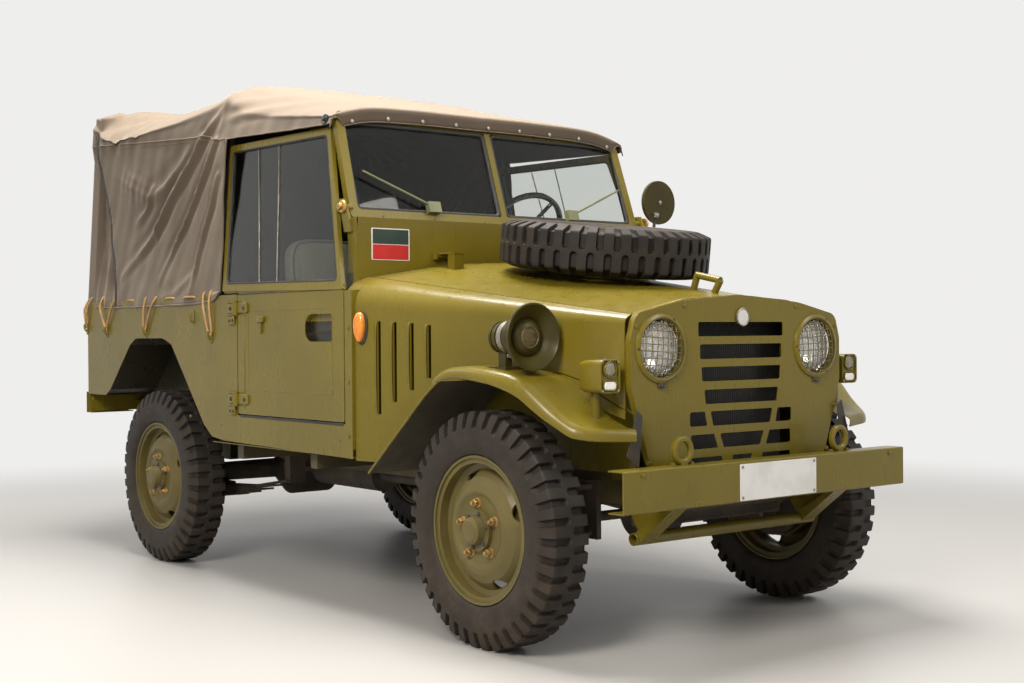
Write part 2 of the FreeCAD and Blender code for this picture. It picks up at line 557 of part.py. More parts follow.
# ---- suspension ----
kx, ky, kr = axle_f, size("king_pin_y"), size("king_pin_radius")
arms, bores = [], []
for s in (-1, 1):
    tag = "l" if s > 0 else "r"
    for k, (z_in, z_out) in enumerate(((330, 262), (470, 460))):
        for m, dx in enumerate((-120, 120)):
            arms.append(rod("arm_%s_%d_%d" % (tag, k, m), (kx + dx, s * 370, z_in), (kx, s * (ky - 14), z_out), 11))
        arms.append(cylinder("eye_out_%s_%d" % (tag, k), (kx, s * ky, z_out - 13), "z", 17, 26))
        bores.append(cylinder("eye_bore_%s_%d" % (tag, k), (kx, s * ky, z_out - 40), "z",
                              "dims.king_pin_radius+dims.fit_gap", 80))
    arms.append(box("arm_pad_%s" % tag, (kx - 150, 358 if s > 0 else -376, 310), (300, 18, 180)))
    arms.append(rod("half_shaft_%s" % tag, (kx, 0, 355), (kx, s * 520, 355), 16))
pot = turned("front_diff", [(-100, 0), (-100, 40), (-60, 90), (60, 90), (100, 40), (100, 0)],
             Placement(Vector(kx, 0, 355), Rotation()))
nose = cylinder("diff_nose", (kx - 150, 60, 352), "x", 38, 140)
hangers = [box("diff_hanger", (kx - 40, -345, 398), (80, 690, rail_z - 398))]
node("front_suspension", cut("front_susp", fuse("front_susp_fuse", arms + [pot, nose] + hangers), bores))

beam = turned("axle_beam", [(-600, 0), (-600, 60), (-588, 60), (-588, 38), (-160, 42), (-90, 120), (90, 120),
                            (160, 42), (588, 38), (588, 60), (600, 60), (600, 0)],
              Placement(Vector(axle_r, 0, hub_z), Rotation()))
stub_end = track + dome + 27
stubs = [cylinder("rear_stub_%d" % s, (axle_r, track - 52 if s > 0 else -stub_end, "dims.wheel_centre_z"), "y",
                  "dims.stub_radius", stub_end - track + 52) for s in (-1, 1)]
node("rear_axle", fuse("rear_axle_fuse", [beam, cylinder("pinion", (axle_r + 60, 0, 356), "x", 45, 130)]
                       + stubs))

leaves = []
for s in (-1, 1):
    y = s * 430
    for k in range(5):
        reach = 620 - k * 105
        sag = 0.000165
        pts = []
        z_axle = 305 - k * 8
        pts = [(axle_r - reach, z_axle + sag * reach * reach), (axle_r - reach * 0.5, z_axle + sag * reach * reach / 4),
               (axle_r, z_axle), (axle_r + reach * 0.5, z_axle + sag * reach * reach / 4),
               (axle_r + reach, z_axle + sag * reach * reach)]
        ring = pts + [(x, z - 8) for x, z in reversed(pts)]
        leaves.append(pad("leaf_%d_%d" % (k, s), "XZ_Plane", [ring], -y - 30, 60))
    leaves.append(box("spring_clamp_%d" % s, (axle_r - 60, y - 40, 255), (120, 80, 60)))
    for m, dx in enumerate((-610, 610)):
        leaves.append(box("spring_hanger_%d_%d" % (s, m), (axle_r + dx - 20, s * 380 if s > 0 else -450, 355),
                          (40, 70, 130 if dx > 0 else 115)))
        leaves.append(box("spring_foot_%d_%d" % (s, m), (axle_r + dx - 20, 358 if s > 0 else -450, 440), (40, 92, 28)))
node("leaf_springs", fuse("springs_fuse", leaves))

pipe = [rod("pipe_front", (876, -215, 470), (420, -240, 398), 21), rod("pipe_mid", (422, -240, 396), (0, -240, 394), 21),
        rod("silencer", (0, -230, 394), (-440, -230, 394), 62), rod("pipe_tail", (-430, -240, 394), (-640, -300, 398), 19)]
for k, x in enumerate((-60, -400)):
    pipe.append(box("pipe_hanger_%d" % k, (x, -302, 440), (30, 80, 5)))
node("exhaust", fuse("exhaust_fuse", pipe))

# ---- windscreen ----
sx0, sz0, sx1, sz1 = (size(n) for n in ("screen_low_x", "screen_low_z", "screen_top_x", "screen_top_z"))
rise = hypot(sx0 - sx1, sz1 - sz0)
lean_deg = degrees(atan2(sx0 - sx1, sz1 - sz0))
screen_place = Placement(Vector(sx0, 0, sz0), Rotation(Vector(0, 1, 0), -lean_deg))
sh, sb, sd = size("screen_half"), size("screen_border"), size("screen_depth")
frame_loops = [[(-sh, 2, 16), (sh, 2, 16), (sh - 14, rise, 24), (-sh + 14, rise, 24)]]
for s in (-1, 1):
    frame_loops.append([(s * 12, sb, 8), (s * (sh - sb), sb, 18), (s * (sh - sb - 12), rise - sb, 24), (s * 12, rise - sb, 8)])
screen = pad("screen_sheet", "YZ_Plane", frame_loops, -sd, "dims.screen_depth")
screen.Placement = screen_place
knobs = []
for s in (-1, 1):
    knobs.append(pad("pivot_plate_%d" % s, "XZ_Plane", [[(470, 1285), (510, 1285), (500, 1330), (462, 1400),
                                                         (436, 1400)]], -s * 693 - 6, 12))
    knobs.append(cylinder("pivot_knob_%d" % s, (453, 660 if s > 0 else -711, 1370), "y", 14, 51))
node("windscreen_frame", fuse("screen_fuse", [screen] + knobs))
panes = []
for s in (-1, 1):
    pane = pad("pane_%d" % s, "YZ_Plane", [[(s * 12.5, sb + 0.5, 8), (s * (sh - sb - 0.5), sb + 0.5, 18),
                                            (s * (sh - sb - 12.5), rise - sb - 0.5, 24),
                                            (s * 12.5, rise - sb - 0.5, 8)]], -16, "dims.glass")
    pane.Placement = screen_place
    panes.append(pane)
node("windscreen_glass", fuse("glass_fuse", panes))
arms2 = []
for s in (-1, 1):
    motor = box("wiper_box_%d" % s, (0, s * 325 - 26, 30), (22, 52, 40))
    motor.Placement = screen_place.multiply(Placement(Vector(0, s * 325 - 26, 30), Rotation()))
    arm = rod("wiper_arm_%d" % s, (14, s * 325, 52), (14, s * 600, 172), 4)
    arm.Placement = screen_place.multiply(arm.Placement)
    arms2 += [motor, arm]
node("wipers", fuse("wiper_fuse", arms2))

# ---- canopy ----
t = size("cloth")


def cloth(half, top, crown, foot_y, foot_z, thick):
    # section of the cloth: outer line over the bow, inner line back
    rows = [(-foot_y, foot_z), (-half, top, 75), (0, crown, 2500), (half, top, 75), (foot_y, foot_z)]
    inner = [(foot_y - t, foot_z), (half - t, top - thick, 75 - t), (0, crown - thick, 2500),
             (-half + t, top - thick, 75 - t), (-foot_y + t, foot_z)]
    return rows, rows + inner


back_x, main_x, head_x = -1668, -380, 366
back_rows, back_ring = cloth(690, 1960, 1980, 752, 1068, t)
main_rows, main_ring = cloth(640, 1905, 1945, 752, 1058, t)
eave_rows, eave_ring = cloth(640, 1905, 1945, 672, 1690, t)
head = [(-684, 1690), (-680, 1728, 14), (0, 1748, 6000), (680, 1728, 14), (684, 1690)]
head_in = [(680, 1690), (676, 1717.4, 10), (0, 1737.4, 6000), (-676, 1717.4, 10), (-680, 1690)]
sides = loft("canvas_sides", [(back_x + t, back_ring), (main_x, main_ring)])
back = pad("canvas_back", "YZ_Plane", [back_rows], back_x, t)
roof = loft("canvas_roof", [(main_x, eave_ring), (head_x, head + head_in)])
lip_front = box("roof_lip", (head_x, -684, 1668), (t, 1368, 58))
notch = box("canvas_notch", (back_x - 20, -440, 1000), (40, 880, 98))
node("canopy", cut("canopy_cut", fuse("canopy_fuse", [sides, back, roof, lip_front]), [notch]))

hoops = []
tube_r = size("tube_radius")


def bow(name, x, width, top, crown, foot):
    # a tube bent over the load space, its legs standing in sockets on the tub side
    run = rounded([(-foot, 1000), (-foot, 1100, 60), (-width, top, 90), (0, crown, 1500), (width, top, 90),
                   (foot, 1100, 60), (foot, 1000)])[:-1]
    edges = []
    for edge in run:
        spots = [Vector(x, p.x, p.y) for p in edge[1:]]
        edges.append(Part.LineSegment(*spots).toShape() if edge[0] == "line" else Part.Arc(*spots).toShape())
    ring = Part.Wire([Part.makeCircle(tube_r, Vector(x, -foot, 1000), Vector(0, 0, 1))])
    item = doc.addObject("Part::Feature", name)
    item.Shape = Part.Wire(edges).makePipeShell([ring], True, True)
    return item


for k, (x, width, top, crown) in enumerate(((-1630, 668, 1939, 1956), (-440, 621, 1884, 1919))):
    hoops.append(bow("bow_%d" % k, x, width, top, crown, 716))
    for s in (-1, 1):
        hoops.append(box("hoop_foot_%d_%d" % (k, s), (x - 14, 714 if s > 0 else -737, 1000), (28, 23, 60)))
hoops.append(rod("hoop_tie", (-1630, 0, 1939), (-440, 0, 1899), 10))
node("canopy_hoops", fuse("hoops_fuse", hoops))

# ---- seats ----
seats = []
for s in (-1, 1):
    y = s * 330
    seats.append(pad("seat_base_%d" % s, "XZ_Plane", [[(-180, 720, 30), (250, 745, 40), (262, 850, 40), (-160, 830, 20)]],
                     -y - 205, 410))
    seats.append(pad("seat_back_%d" % s, "XZ_Plane", [[(-190, 800, 20), (-110, 830, 20), (-190, 1310, 40), (-270, 1300, 30)]],
                     -y - 200, 400))
    seats.append(box("seat_frame_%d" % s, (-170, y - 170, 560.3), (400, 340, 170)))
    b = -505 if s < 0 else 215
    seats.append(box("bench_seat_%d" % s, (-1560, b, 880), (900, 290, 55)))
    seats.append(box("bench_back_%d" % s, (-1560, -715 if s < 0 else 675, 965), (900, 40, 95)))
    seats.append(box("bench_leg_%d" % s, (-1500, b + 30, 643.3), (40, 40, 240)))
    seats.append(box("bench_leg2_%d" % s, (-760, b + 30, 643.3), (40, 40, 240)))
    seats.append(box("bench_brk_%d" % s, (-1100, -700 if s < 0 else 490, 932.3), (40, 210, 12)))
    seats.append(box("bench_post_%d" % s, (-1100, -700 if s < 0 else 680, 932.3), (40, 20, 52)))
node("seats", fuse("seat_fuse", seats))

# ---- lamps ----
lamps = []
for s in (-1, 1):
    y = size("lamp_y") * s
    bowl = turned("bowl_%d" % s, [(-60, 0), (-60, 50), (-20, 92), (14, 92), (14, 103), (24, 103), (24, 88),
                                  (20, 70), (28, 0)],
                  Placement(Vector(bon_f + 11, y, size("lamp_z")), Rotation(Vector(0, 0, 1), -90)))
    lamps.append(bowl)
node("headlamps", fuse("lamp_fuse", lamps))
small = []
taper = 14.3
for s in (-1, 1):
    y = s * 535
    tag = "l" if s > 0 else "r"
    small.append(box("marker_box_%s" % tag, (1512, y - 38, 766), (104, 76, 96)))
    small.append(cylinder("marker_lens_%s" % tag, (1615, y, 834), "x", 20, 8))
    small.append(box("marker_slot_%s" % tag, (1615, y - 22, 774), (8, 44, 26)))
    small.append(cut("marker_foot_%s" % tag, box("marker_peg_%s" % tag, (1540, y - 14, 718), (40, 28, 50)),
                     [seats_on[0 if s > 0 else 1]]))
    flasher = box("flasher_%s" % tag, (0, 0, 0), (54, 24, 104))
    side_x = 608
    side_y = hw - (side_x - cx - 4) * (hw - 467) / (bon_f - cx - 4)
    turn = Rotation(Vector(0, 0, 1), -s * taper)
    out = turn.multVec(Vector(0, 0.4 if s > 0 else -24.4, 0))
    flasher.Placement = Placement(Vector(side_x, s * side_y, 914) + out, turn)
    small.append(flasher)
    small.append(cylinder("tail_%s" % tag, (tub_x - 34, s * 640, 800), "x", 38, 34))
node("small_lamps", fuse("small_fuse", small))

horn_at = Placement(Vector(1397, -640, 927), Rotation(Vector(0, 0, 1), -90))
horn = turned("horn_bell", [(-150, 0), (-150, 44), (-60, 46), (-40, 60), (0, 100), (6, 100), (6, 96), (-36, 54),
                            (-36, 0)], horn_at)
horn_core = turned("horn_core", [(-38, 0), (-38, 44), (-34, 44), (-32, 30), (-31, 0)], horn_at)
horn_plate = cut("horn_base", box("horn_plate", (1215, -678, 815), (104, 76, 25)), [seats_on[1]])
node("siren_horn", fuse("horn_fuse", [horn, horn_core, box("horn_post", (1252, -652, 836), (34, 24, 60)), horn_plate]))

node("mirror", fuse("mirror_fuse", [
    cylinder("mirror_disc", (470, 780, 1460), "x", "dims.mirror_radius", 14),
    rod("mirror_arm", (464, 780, 1440), (517, 701, 1262), 6),
    box("mirror_foot", (502, 687, 1245), (20, 16, 34))]))

node("blank_plates", fuse("plate_fuse", [
    box("number_plate", (bx + 0.3 - 0.3, -160, 443), (3, 343, 108)),
    box("sign", (cx, -627, 1191), (3, 156, 109)),
    box("rear_plate", (tub_x - 3, -700, 880), (3, 230, 150))]))

# ---- bonnet ----
lid = loft("lid", [
    (bon_r, [(-628, 1133), (-300, 1184, 900), (0, 1198, 1500), (300, 1184, 900), (628, 1133), (628, 1130),
             (300, 1181, 900), (0, 1195, 1500), (-300, 1181, 900), (-628, 1130)]),
    (bon_f, [(-428, 991), (-230, 1034, 700), (0, 1048, 900), (230, 1034, 700), (428, 991), (428, 988),
             (230, 1031, 700), (0, 1045, 900), (-230, 1031, 700), (-428, 988)])])
extra = []
for s in (-1, 1):
    extra.append(cut("hinge_eye_%d" % s, fuse("hinge_arm_%d" % s, [
        box("hinge_strap_%d" % s, (size("hinge_x"), s * 340 - 22, size("hinge_z") + 3), (100, 44, 6)),
        box("hinge_block_%d" % s, (600, s * 340 - 20, 1160), (38, 40, 56)),
        cylinder("hinge_tube_%d" % s, ("dims.hinge_x", s * 340 - 22, "dims.hinge_z"), "y", 9, 44)]),
        [cylinder("hinge_bore_%d" % s, ("dims.hinge_x", s * 340 - 40, "dims.hinge_z"), "y",
                  "dims.pin_radius+dims.fit_gap", 80)]))
tilt_s = Rotation(Vector(0, 1, 0), size("spare_tilt")).multiply(Rotation(Vector(1, 0, 0), 90))
where = (size("spare_x"), 0, size("spare_z"))
post = fuse("spare_post", [cylinder("spare_pot", (0, -104, 0), "y", 88, 104 + dome - sheet - soft),
                           cylinder("spare_stud", (0, dome - 20, 0), "y", 16, 40),
                           cylinder("spare_clamp", (0, dome + soft, 0), "y", 66, 9)])
post.Placement = Placement(Vector(*where), tilt_s)
loop_x = bon_f - 62
hookb = [rod("grab_front", (loop_x - 25, 0, 1060), (loop_x, 0, 1098), 11),
         rod("grab_bar", (loop_x, 0, 1098), (loop_x - 100, 0, 1118), 11),
         rod("grab_rear", (loop_x - 98, 0, 1118), (loop_x - 115, 0, 1072), 11)]
node("bonnet", fuse("bonnet_fuse", [lid, post] + extra + hookb))


node("spare_wheel", placed("spare_wheel", spare_model, where, tilt_s))
node("spare_tyre", placed("spare_tyre", tyre_model, where, tilt_s))

# ---- doors ----
for s in (-1, 1):
    tag = "left" if s > 0 else "right"
    y0 = -s * hw if s > 0 else hw - size("door_depth")
    lower = pad("door_low_%s" % tag, "XZ_Plane", [[(door_r, low, 10), (door_f, low, 10), (door_f, size("door_top_z")),
                                                   (door_r, size("door_top_z"))]], y0, "dims.door_depth")
    hollow = box("door_hollow_%s" % tag, (door_r + 3, -hw + 3 if s < 0 else hw - size("door_depth") - 0, low + 3),
                 (door_f - door_r - 6, size("door_depth") - 3, size("door_top_z") - low - 6))
    lean_y = Placement(Vector(0, s * (hw - 6), 1100), Rotation(Vector(1, 0, 0), s * 8.0))
    outline = [(-337, 5, 8), (524, -12, 4), (327, 566, 10), (-413, 578, 10)]
    inner = [(-310, 34, 6), (486, 20, 6), (310, 538, 8), (-384, 550, 8)]
    frame = pad("door_frame_%s" % tag, "XZ_Plane", [outline, inner], -8, 16)
    frame.Placement = lean_y
    eyes = []
    for k, z in enumerate(hinge_levels):
        strap = fuse("door_strap_%s_%d" % (tag, k), [
            cylinder("door_eye_%s_%d" % (tag, k), (door_pin[0], s * door_pin[1], z - 19.5), "z", 9, 39),
            box("door_leaf_%s_%d" % (tag, k), (door_pin[0] + 2, hw if s > 0 else -hw - 7, z - 16), (86, 7, 32))])
        eyes.append(cut("door_hinge_%s_%d" % (tag, k), strap, [
            cylinder("door_bore_%s_%d" % (tag, k), (door_pin[0], s * door_pin[1], z - 40), "z",
                     "dims.pin_radius+dims.fit_gap", 80)]))
    deep = size("handle_recess")
    dish = [(275, 915, 40), (455, 915, 14), (455, 1010, 14), (275, 1010, 44)]
    rim_dish = [(272, 912, 43), (458, 912, 17), (458, 1013, 17), (272, 1013, 47)]
    cup = pad("handle_cup_%s" % tag, "XZ_Plane", [rim_dish], -hw if s > 0 else hw - deep - skin, deep + skin)
    hole = pad("handle_hole_%s" % tag, "XZ_Plane", [dish], -hw - 1 if s > 0 else hw - deep, deep + 1)
    lever = pad("handle_lever_%s" % tag, "XZ_Plane", [[(345, 956, 6), (380, 972, 10), (456, 972), (456, 950),
                                                       (380, 950, 10)]], -hw + 3 if s > 0 else hw - 13, 10)
    shell = fuse("door_shell_%s" % tag, [cut("door_box_%s" % tag, lower, [hollow]), cup, frame] + eyes)
    node("door_%s" % tag, fuse("door_fuse_%s" % tag, [cut("door_open_%s" % tag, shell, [hole]), lever]))
    pane = pad("door_pane_%s" % tag, "XZ_Plane", [[
        (-309.6, 34.4, 6), (485.4, 20.4, 6), (309.6, 537.6, 8), (-383.6, 549.6, 8)]], -2, 4)
    pane.Placement = lean_y
    node("door_%s_glass" % tag, pane)

gate_eyes = []
for k, y in enumerate((-310, 310)):
    leaf = fuse("gate_leaf_%d" % k, [
        cylinder("gate_eye_%d" % k, (gate_pin[0], y - 25.5, gate_pin[1]), "y", 9, 51),
        box("gate_strap_%d" % k, (gate_pin[0] - 9, y - 22, gate_pin[1]), (7, 44, 70)),
        box("gate_pad_%d" % k, (gate_pin[0] - 9, y - 22, gate_pin[1] + 30), (18, 44, 40))])
    gate_eyes.append(cut("gate_hinge_%d" % k, leaf, [
        cylinder("gate_bore_%d" % k, (gate_pin[0], y - 60, gate_pin[1]), "y", "dims.pin_radius+dims.fit_gap", 120)]))
gate = fuse("gate_fuse", [box("gate_sheet", (tub_x, -424, bed + 18), (skin, 848, tub_top - bed - 26)),
                          box("gate_rim", (tub_x, -424, tub_top - 30), (24, 848, 22))] + gate_eyes)
node("tailgate", gate)

# ---- knuckles ----
for s in (-1, 1):
    tag = "left" if s > 0 else "right"
    pin = cylinder("king_pin_%s" % tag, (kx, s * ky, 240), "z", "dims.king_pin_radius", 242)
    block = box("upright_%s" % tag, (kx - 24, 548 if s > 0 else -590, 283), (48, 42, 156))
    spindle = cylinder("spindle_%s" % tag, (kx, track - 66 if s > 0 else -stub_end, "dims.wheel_centre_z"), "y",
                       "dims.stub_radius", stub_end - track + 66)
    plate = cylinder("brake_plate_%s" % tag, (kx, 586 if s > 0 else -618, "dims.wheel_centre_z"), "y", drum_r - 6, 32)
    arm = box("steer_arm_%s" % tag, (kx - 150, s * (ky - 6) - 12, 330), (150, 24, 18))
    node("knuckle_%s" % tag, fuse("knuckle_fuse_%s" % tag, [pin, block, spindle, plate, arm]))

# ---- steering wheel ----
steer_r, grip = size("steer_ring"), size("steer_grip")
ring = turned("steer_ring", [(grip * cos(radians(60 * k)), steer_r + grip * sin(radians(60 * k))) for k in range(6)],
              Placement(Vector(), Rotation(Vector(1, 0, 0), 90)))
spokes = [rod("spoke_%d" % k, (0, 0, 0), (steer_r * cos(radians(a)), steer_r * sin(radians(a)), 0), 8)
          for k, a in enumerate((30, 150, 270))]
boss = cylinder("steer_boss", (0, 0, -14), "z", 30, 70)
stem = cylinder("steer_stem", (0, 0, 50), "z", pin_r * 2, 60)
steer = fuse("steer_fuse", [ring, boss, stem] + spokes)
steer.Placement = Placement(wheel_at, column_turn)
node("steering_wheel", steer)

doc.recompute()
os.makedirs("parts", exist_ok=True)
bad = 0
for item in nodes:
    shape = item.Shape
    state = [s for s in item.State if s in ("Invalid", "Error")]
    if state or shape.isNull() or not shape.isValid() or not shape.Solids:
        print("PROBLEM", item.Label, item.State, shape.isNull() or shape.isValid())
        bad += 1
        continue
    shape.exportStep("parts/%s.step" % item.Label)
    box_ = shape.BoundBox
    print("%-20s solids %2d  x %.0f..%.0f  y %.0f..%.0f  z %.0f..%.0f  volume %.0f" % (
        item.Label, len(shape.Solids), box_.XMin, box_.XMax, box_.YMin, box_.YMax, box_.ZMin, box_.ZMax,
        shape.Volume / 1000.0))
print("nodes", len(nodes), "bad", bad)
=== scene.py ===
import bpy
import bmesh
import numpy as np
from math import radians, sin, cos, pi
from mathutils import Matrix, Vector


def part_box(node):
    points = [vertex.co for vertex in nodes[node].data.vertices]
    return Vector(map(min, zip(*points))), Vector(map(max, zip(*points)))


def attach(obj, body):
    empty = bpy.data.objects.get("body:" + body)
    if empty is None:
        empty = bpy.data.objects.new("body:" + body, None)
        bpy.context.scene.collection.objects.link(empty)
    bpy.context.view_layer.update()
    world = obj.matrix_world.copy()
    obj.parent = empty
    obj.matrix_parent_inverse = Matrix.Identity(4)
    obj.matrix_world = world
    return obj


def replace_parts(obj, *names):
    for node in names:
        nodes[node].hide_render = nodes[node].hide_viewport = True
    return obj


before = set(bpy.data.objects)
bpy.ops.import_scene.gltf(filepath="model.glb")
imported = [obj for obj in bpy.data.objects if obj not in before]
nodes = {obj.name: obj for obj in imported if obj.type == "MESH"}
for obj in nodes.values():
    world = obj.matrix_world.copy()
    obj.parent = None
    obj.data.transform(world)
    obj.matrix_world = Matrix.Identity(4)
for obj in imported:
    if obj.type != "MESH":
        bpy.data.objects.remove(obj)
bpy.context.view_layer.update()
print("frame loaded:", len(nodes), "nodes")

viewSet = {"place": (4.5813, -3.2627, 0.9383), "yaw": 141.348, "pitch": -0.33, "roll": -0.441, "lens": 49.948,
           "sensor": 36.0, "reach": 200}


def makeCamera(s):
    yaw, pitch, roll = radians(s["yaw"]), radians(s["pitch"]), radians(s["roll"])
    ahead = Vector((cos(yaw) * cos(pitch), sin(yaw) * cos(pitch), sin(pitch)))
    right = ahead.cross(Vector((0, 0, 1))).normalized()
    above = right.cross(ahead)
    r = right * cos(roll) + above * sin(roll)
    u = above * cos(roll) - right * sin(roll)
    data = bpy.data.cameras.new("camera")
    data.lens, data.sensor_width, data.clip_end = s["lens"], s["sensor"], s["reach"]
    cam = bpy.data.objects.new("camera", data)
    bpy.context.scene.collection.objects.link(cam)
    m = Matrix((r, u, -ahead)).transposed().to_4x4()
    m.translation = Vector(s["place"])
    cam.matrix_world = m
    bpy.context.scene.camera = cam


makeCamera(viewSet)


# node helpers: a value is another node's output or a constant
def feed(tree, node, values):
    for label, v in values.items():
        sock = node.inputs[label]
        if isinstance(v, bpy.types.NodeSocket):
            tree.links.new(v, sock)
        elif v is not None:
            sock.default_value = (*v, 1) if sock.type == "RGBA" and len(v) == 3 else v


def addNode(tree, kind, values={}, **settings):
    n = tree.nodes.new("ShaderNode" + kind)
    for label, v in settings.items():
        setattr(n, label, v)
    feed(tree, n, values)
    return n


def mathNode(t, how, a, b=None, clamp=False):
    return addNode(t, "Math", {0: a, 1: b}, operation=how, use_clamp=clamp).outputs[0]


def mul(t, a, b, clamp=False):
    return mathNode(t, "MULTIPLY", a, b, clamp)


def add(t, a, b, clamp=False):
    return mathNode(t, "ADD", a, b, clamp)


def sub(t, a, b, clamp=False):
    return mathNode(t, "SUBTRACT", a, b, clamp)


def absSine(t, v):
    return mathNode(t, "ABSOLUTE", mathNode(t, "SINE", v))


def splitXyz(t, v):
    return addNode(t, "SeparateXYZ", {0: v}).outputs


def noiseNode(t, place, scale, detail=3.0, rough=0.55, stretch=None):
    if stretch:
        place = addNode(t, "Mapping", {"Vector": place, "Scale": stretch}).outputs[0]
    return addNode(t, "TexNoise", {"Vector": place, "Scale": scale, "Detail": detail,
                                   "Roughness": rough}).outputs["Fac"]


def rampNode(t, value, low, high):
    return addNode(t, "MapRange", {"Value": value, "From Min": low, "From Max": high},
                   interpolation_type="SMOOTHSTEP").outputs["Result"]


def mixColour(t, fac, a, b):
    return addNode(t, "Mix", {0: fac, 6: a, 7: b}, data_type="RGBA").outputs[2]


def mixFloat(t, fac, a, b):
    return addNode(t, "Mix", {0: fac, 2: a, 3: b}, data_type="FLOAT").outputs[0]


def seenMask(t):
    # 1 for camera, mirror and glass rays, 0 for the light that falls on the car
    rays = t.nodes.new("ShaderNodeLightPath").outputs
    seen = mathNode(t, "MAXIMUM", rays["Is Camera Ray"], rays["Is Glossy Ray"])
    return mathNode(t, "MAXIMUM", seen, rays["Is Transmission Ray"])


stageSet = {"floor": (0.43, 0.42, 0.405), "back": (0.86, 0.855, 0.84), "sky": (0.86, 0.85, 0.83), "skyPower": 0.38,
            "nearEdge": 2.6, "farEdge": 6.0, "half": 60.0, "rough": 0.45, "aimHigh": 0.7,
            "lights": [((2.9, -3.9, 3.4), (1.0, 0.93, 0.84), 210, 1.5),
                       ((5.2, 2.4, 4.2), (1.0, 0.96, 0.91), 100, 2.0),
                       ((-4.5, -3.0, 4.8), (0.97, 0.98, 1.0), 40, 2.2),
                       ((-0.2, -0.4, 4.8), (1.0, 0.97, 0.93), 390, 2.0)]}


def makeStage(s):
    # the floor is plain near the car and turns into the backdrop's own white far away
    scene = bpy.context.scene
    scene.view_settings.view_transform = "Standard"
    mesh = bpy.data.meshes.new("floor")
    a = s["half"]
    mesh.from_pydata([(-a, -a, 0), (a, -a, 0), (a, a, 0), (-a, a, 0)], [], [(0, 1, 2, 3)])
    floor = bpy.data.objects.new("floor", mesh)
    scene.collection.objects.link(floor)
    mat, t, b, coord = newFinish("paleFloor")
    feed(t, b, {"Base Color": s["floor"], "Roughness": s["rough"]})
    glow = addNode(t, "Emission", {"Color": s["back"]})
    far = addNode(t, "VectorMath", {0: coord["Object"]}, operation="LENGTH").outputs["Value"]
    share = mul(t, rampNode(t, far, s["nearEdge"], s["farEdge"]), seenMask(t))
    mix = addNode(t, "MixShader", {0: share, 1: b.outputs[0], 2: glow.outputs[0]})
    feed(t, t.nodes["Material Output"], {"Surface": mix.outputs[0]})
    mesh.materials.append(mat)
    world = bpy.data.worlds.new("world")
    scene.world = world
    world.use_nodes = True
    w = world.node_tree
    sky = w.nodes["Background"]
    feed(w, sky, {"Color": s["sky"], "Strength": s["skyPower"]})
    seenSky = addNode(w, "Background", {"Color": s["back"]})
    mix = addNode(w, "MixShader", {0: seenMask(w), 1: sky.outputs[0], 2: seenSky.outputs[0]})
    feed(w, w.nodes["World Output"], {"Surface": mix.outputs[0]})
    for k, (place, colour, power, width) in enumerate(s["lights"]):
        data = bpy.data.lights.new("soft%d" % k, "AREA")
        data.size, data.energy, data.color = width, power, colour
        lamp = bpy.data.objects.new("soft%d" % k, data)
        lamp.location = place
        aim = Vector((0, 0, s["aimHigh"])) - Vector(place)
        lamp.rotation_euler = aim.to_track_quat("-Z", "Y").to_euler()
        scene.collection.objects.link(lamp)


def newFinish(name):
    mat = bpy.data.materials.new(name)
    mat.use_nodes = True
    t = mat.node_tree
    return mat, t, t.nodes["Principled BSDF"], t.nodes.new("ShaderNodeTexCoord").outputs


makeStage(stageSet)
print("camera, floor and lights")


# shared effects, each a group with named inputs and outputs
def newGroup(name, ins, outs):
    g = bpy.data.node_groups.new(name, "ShaderNodeTree")
    for label, value in ins.items():
        kind = "Vector" if value is None else "Color" if isinstance(value, tuple) else "Float"
        sock = g.interface.new_socket(label, in_out="INPUT", socket_type="NodeSocket" + kind)
        if value is not None:
            sock.default_value = value
    for label, kind in outs.items():
        g.interface.new_socket(label, in_out="OUTPUT", socket_type="NodeSocket" + kind)
    return g, g.nodes.new("NodeGroupInput").outputs, g.nodes.new("NodeGroupOutput")


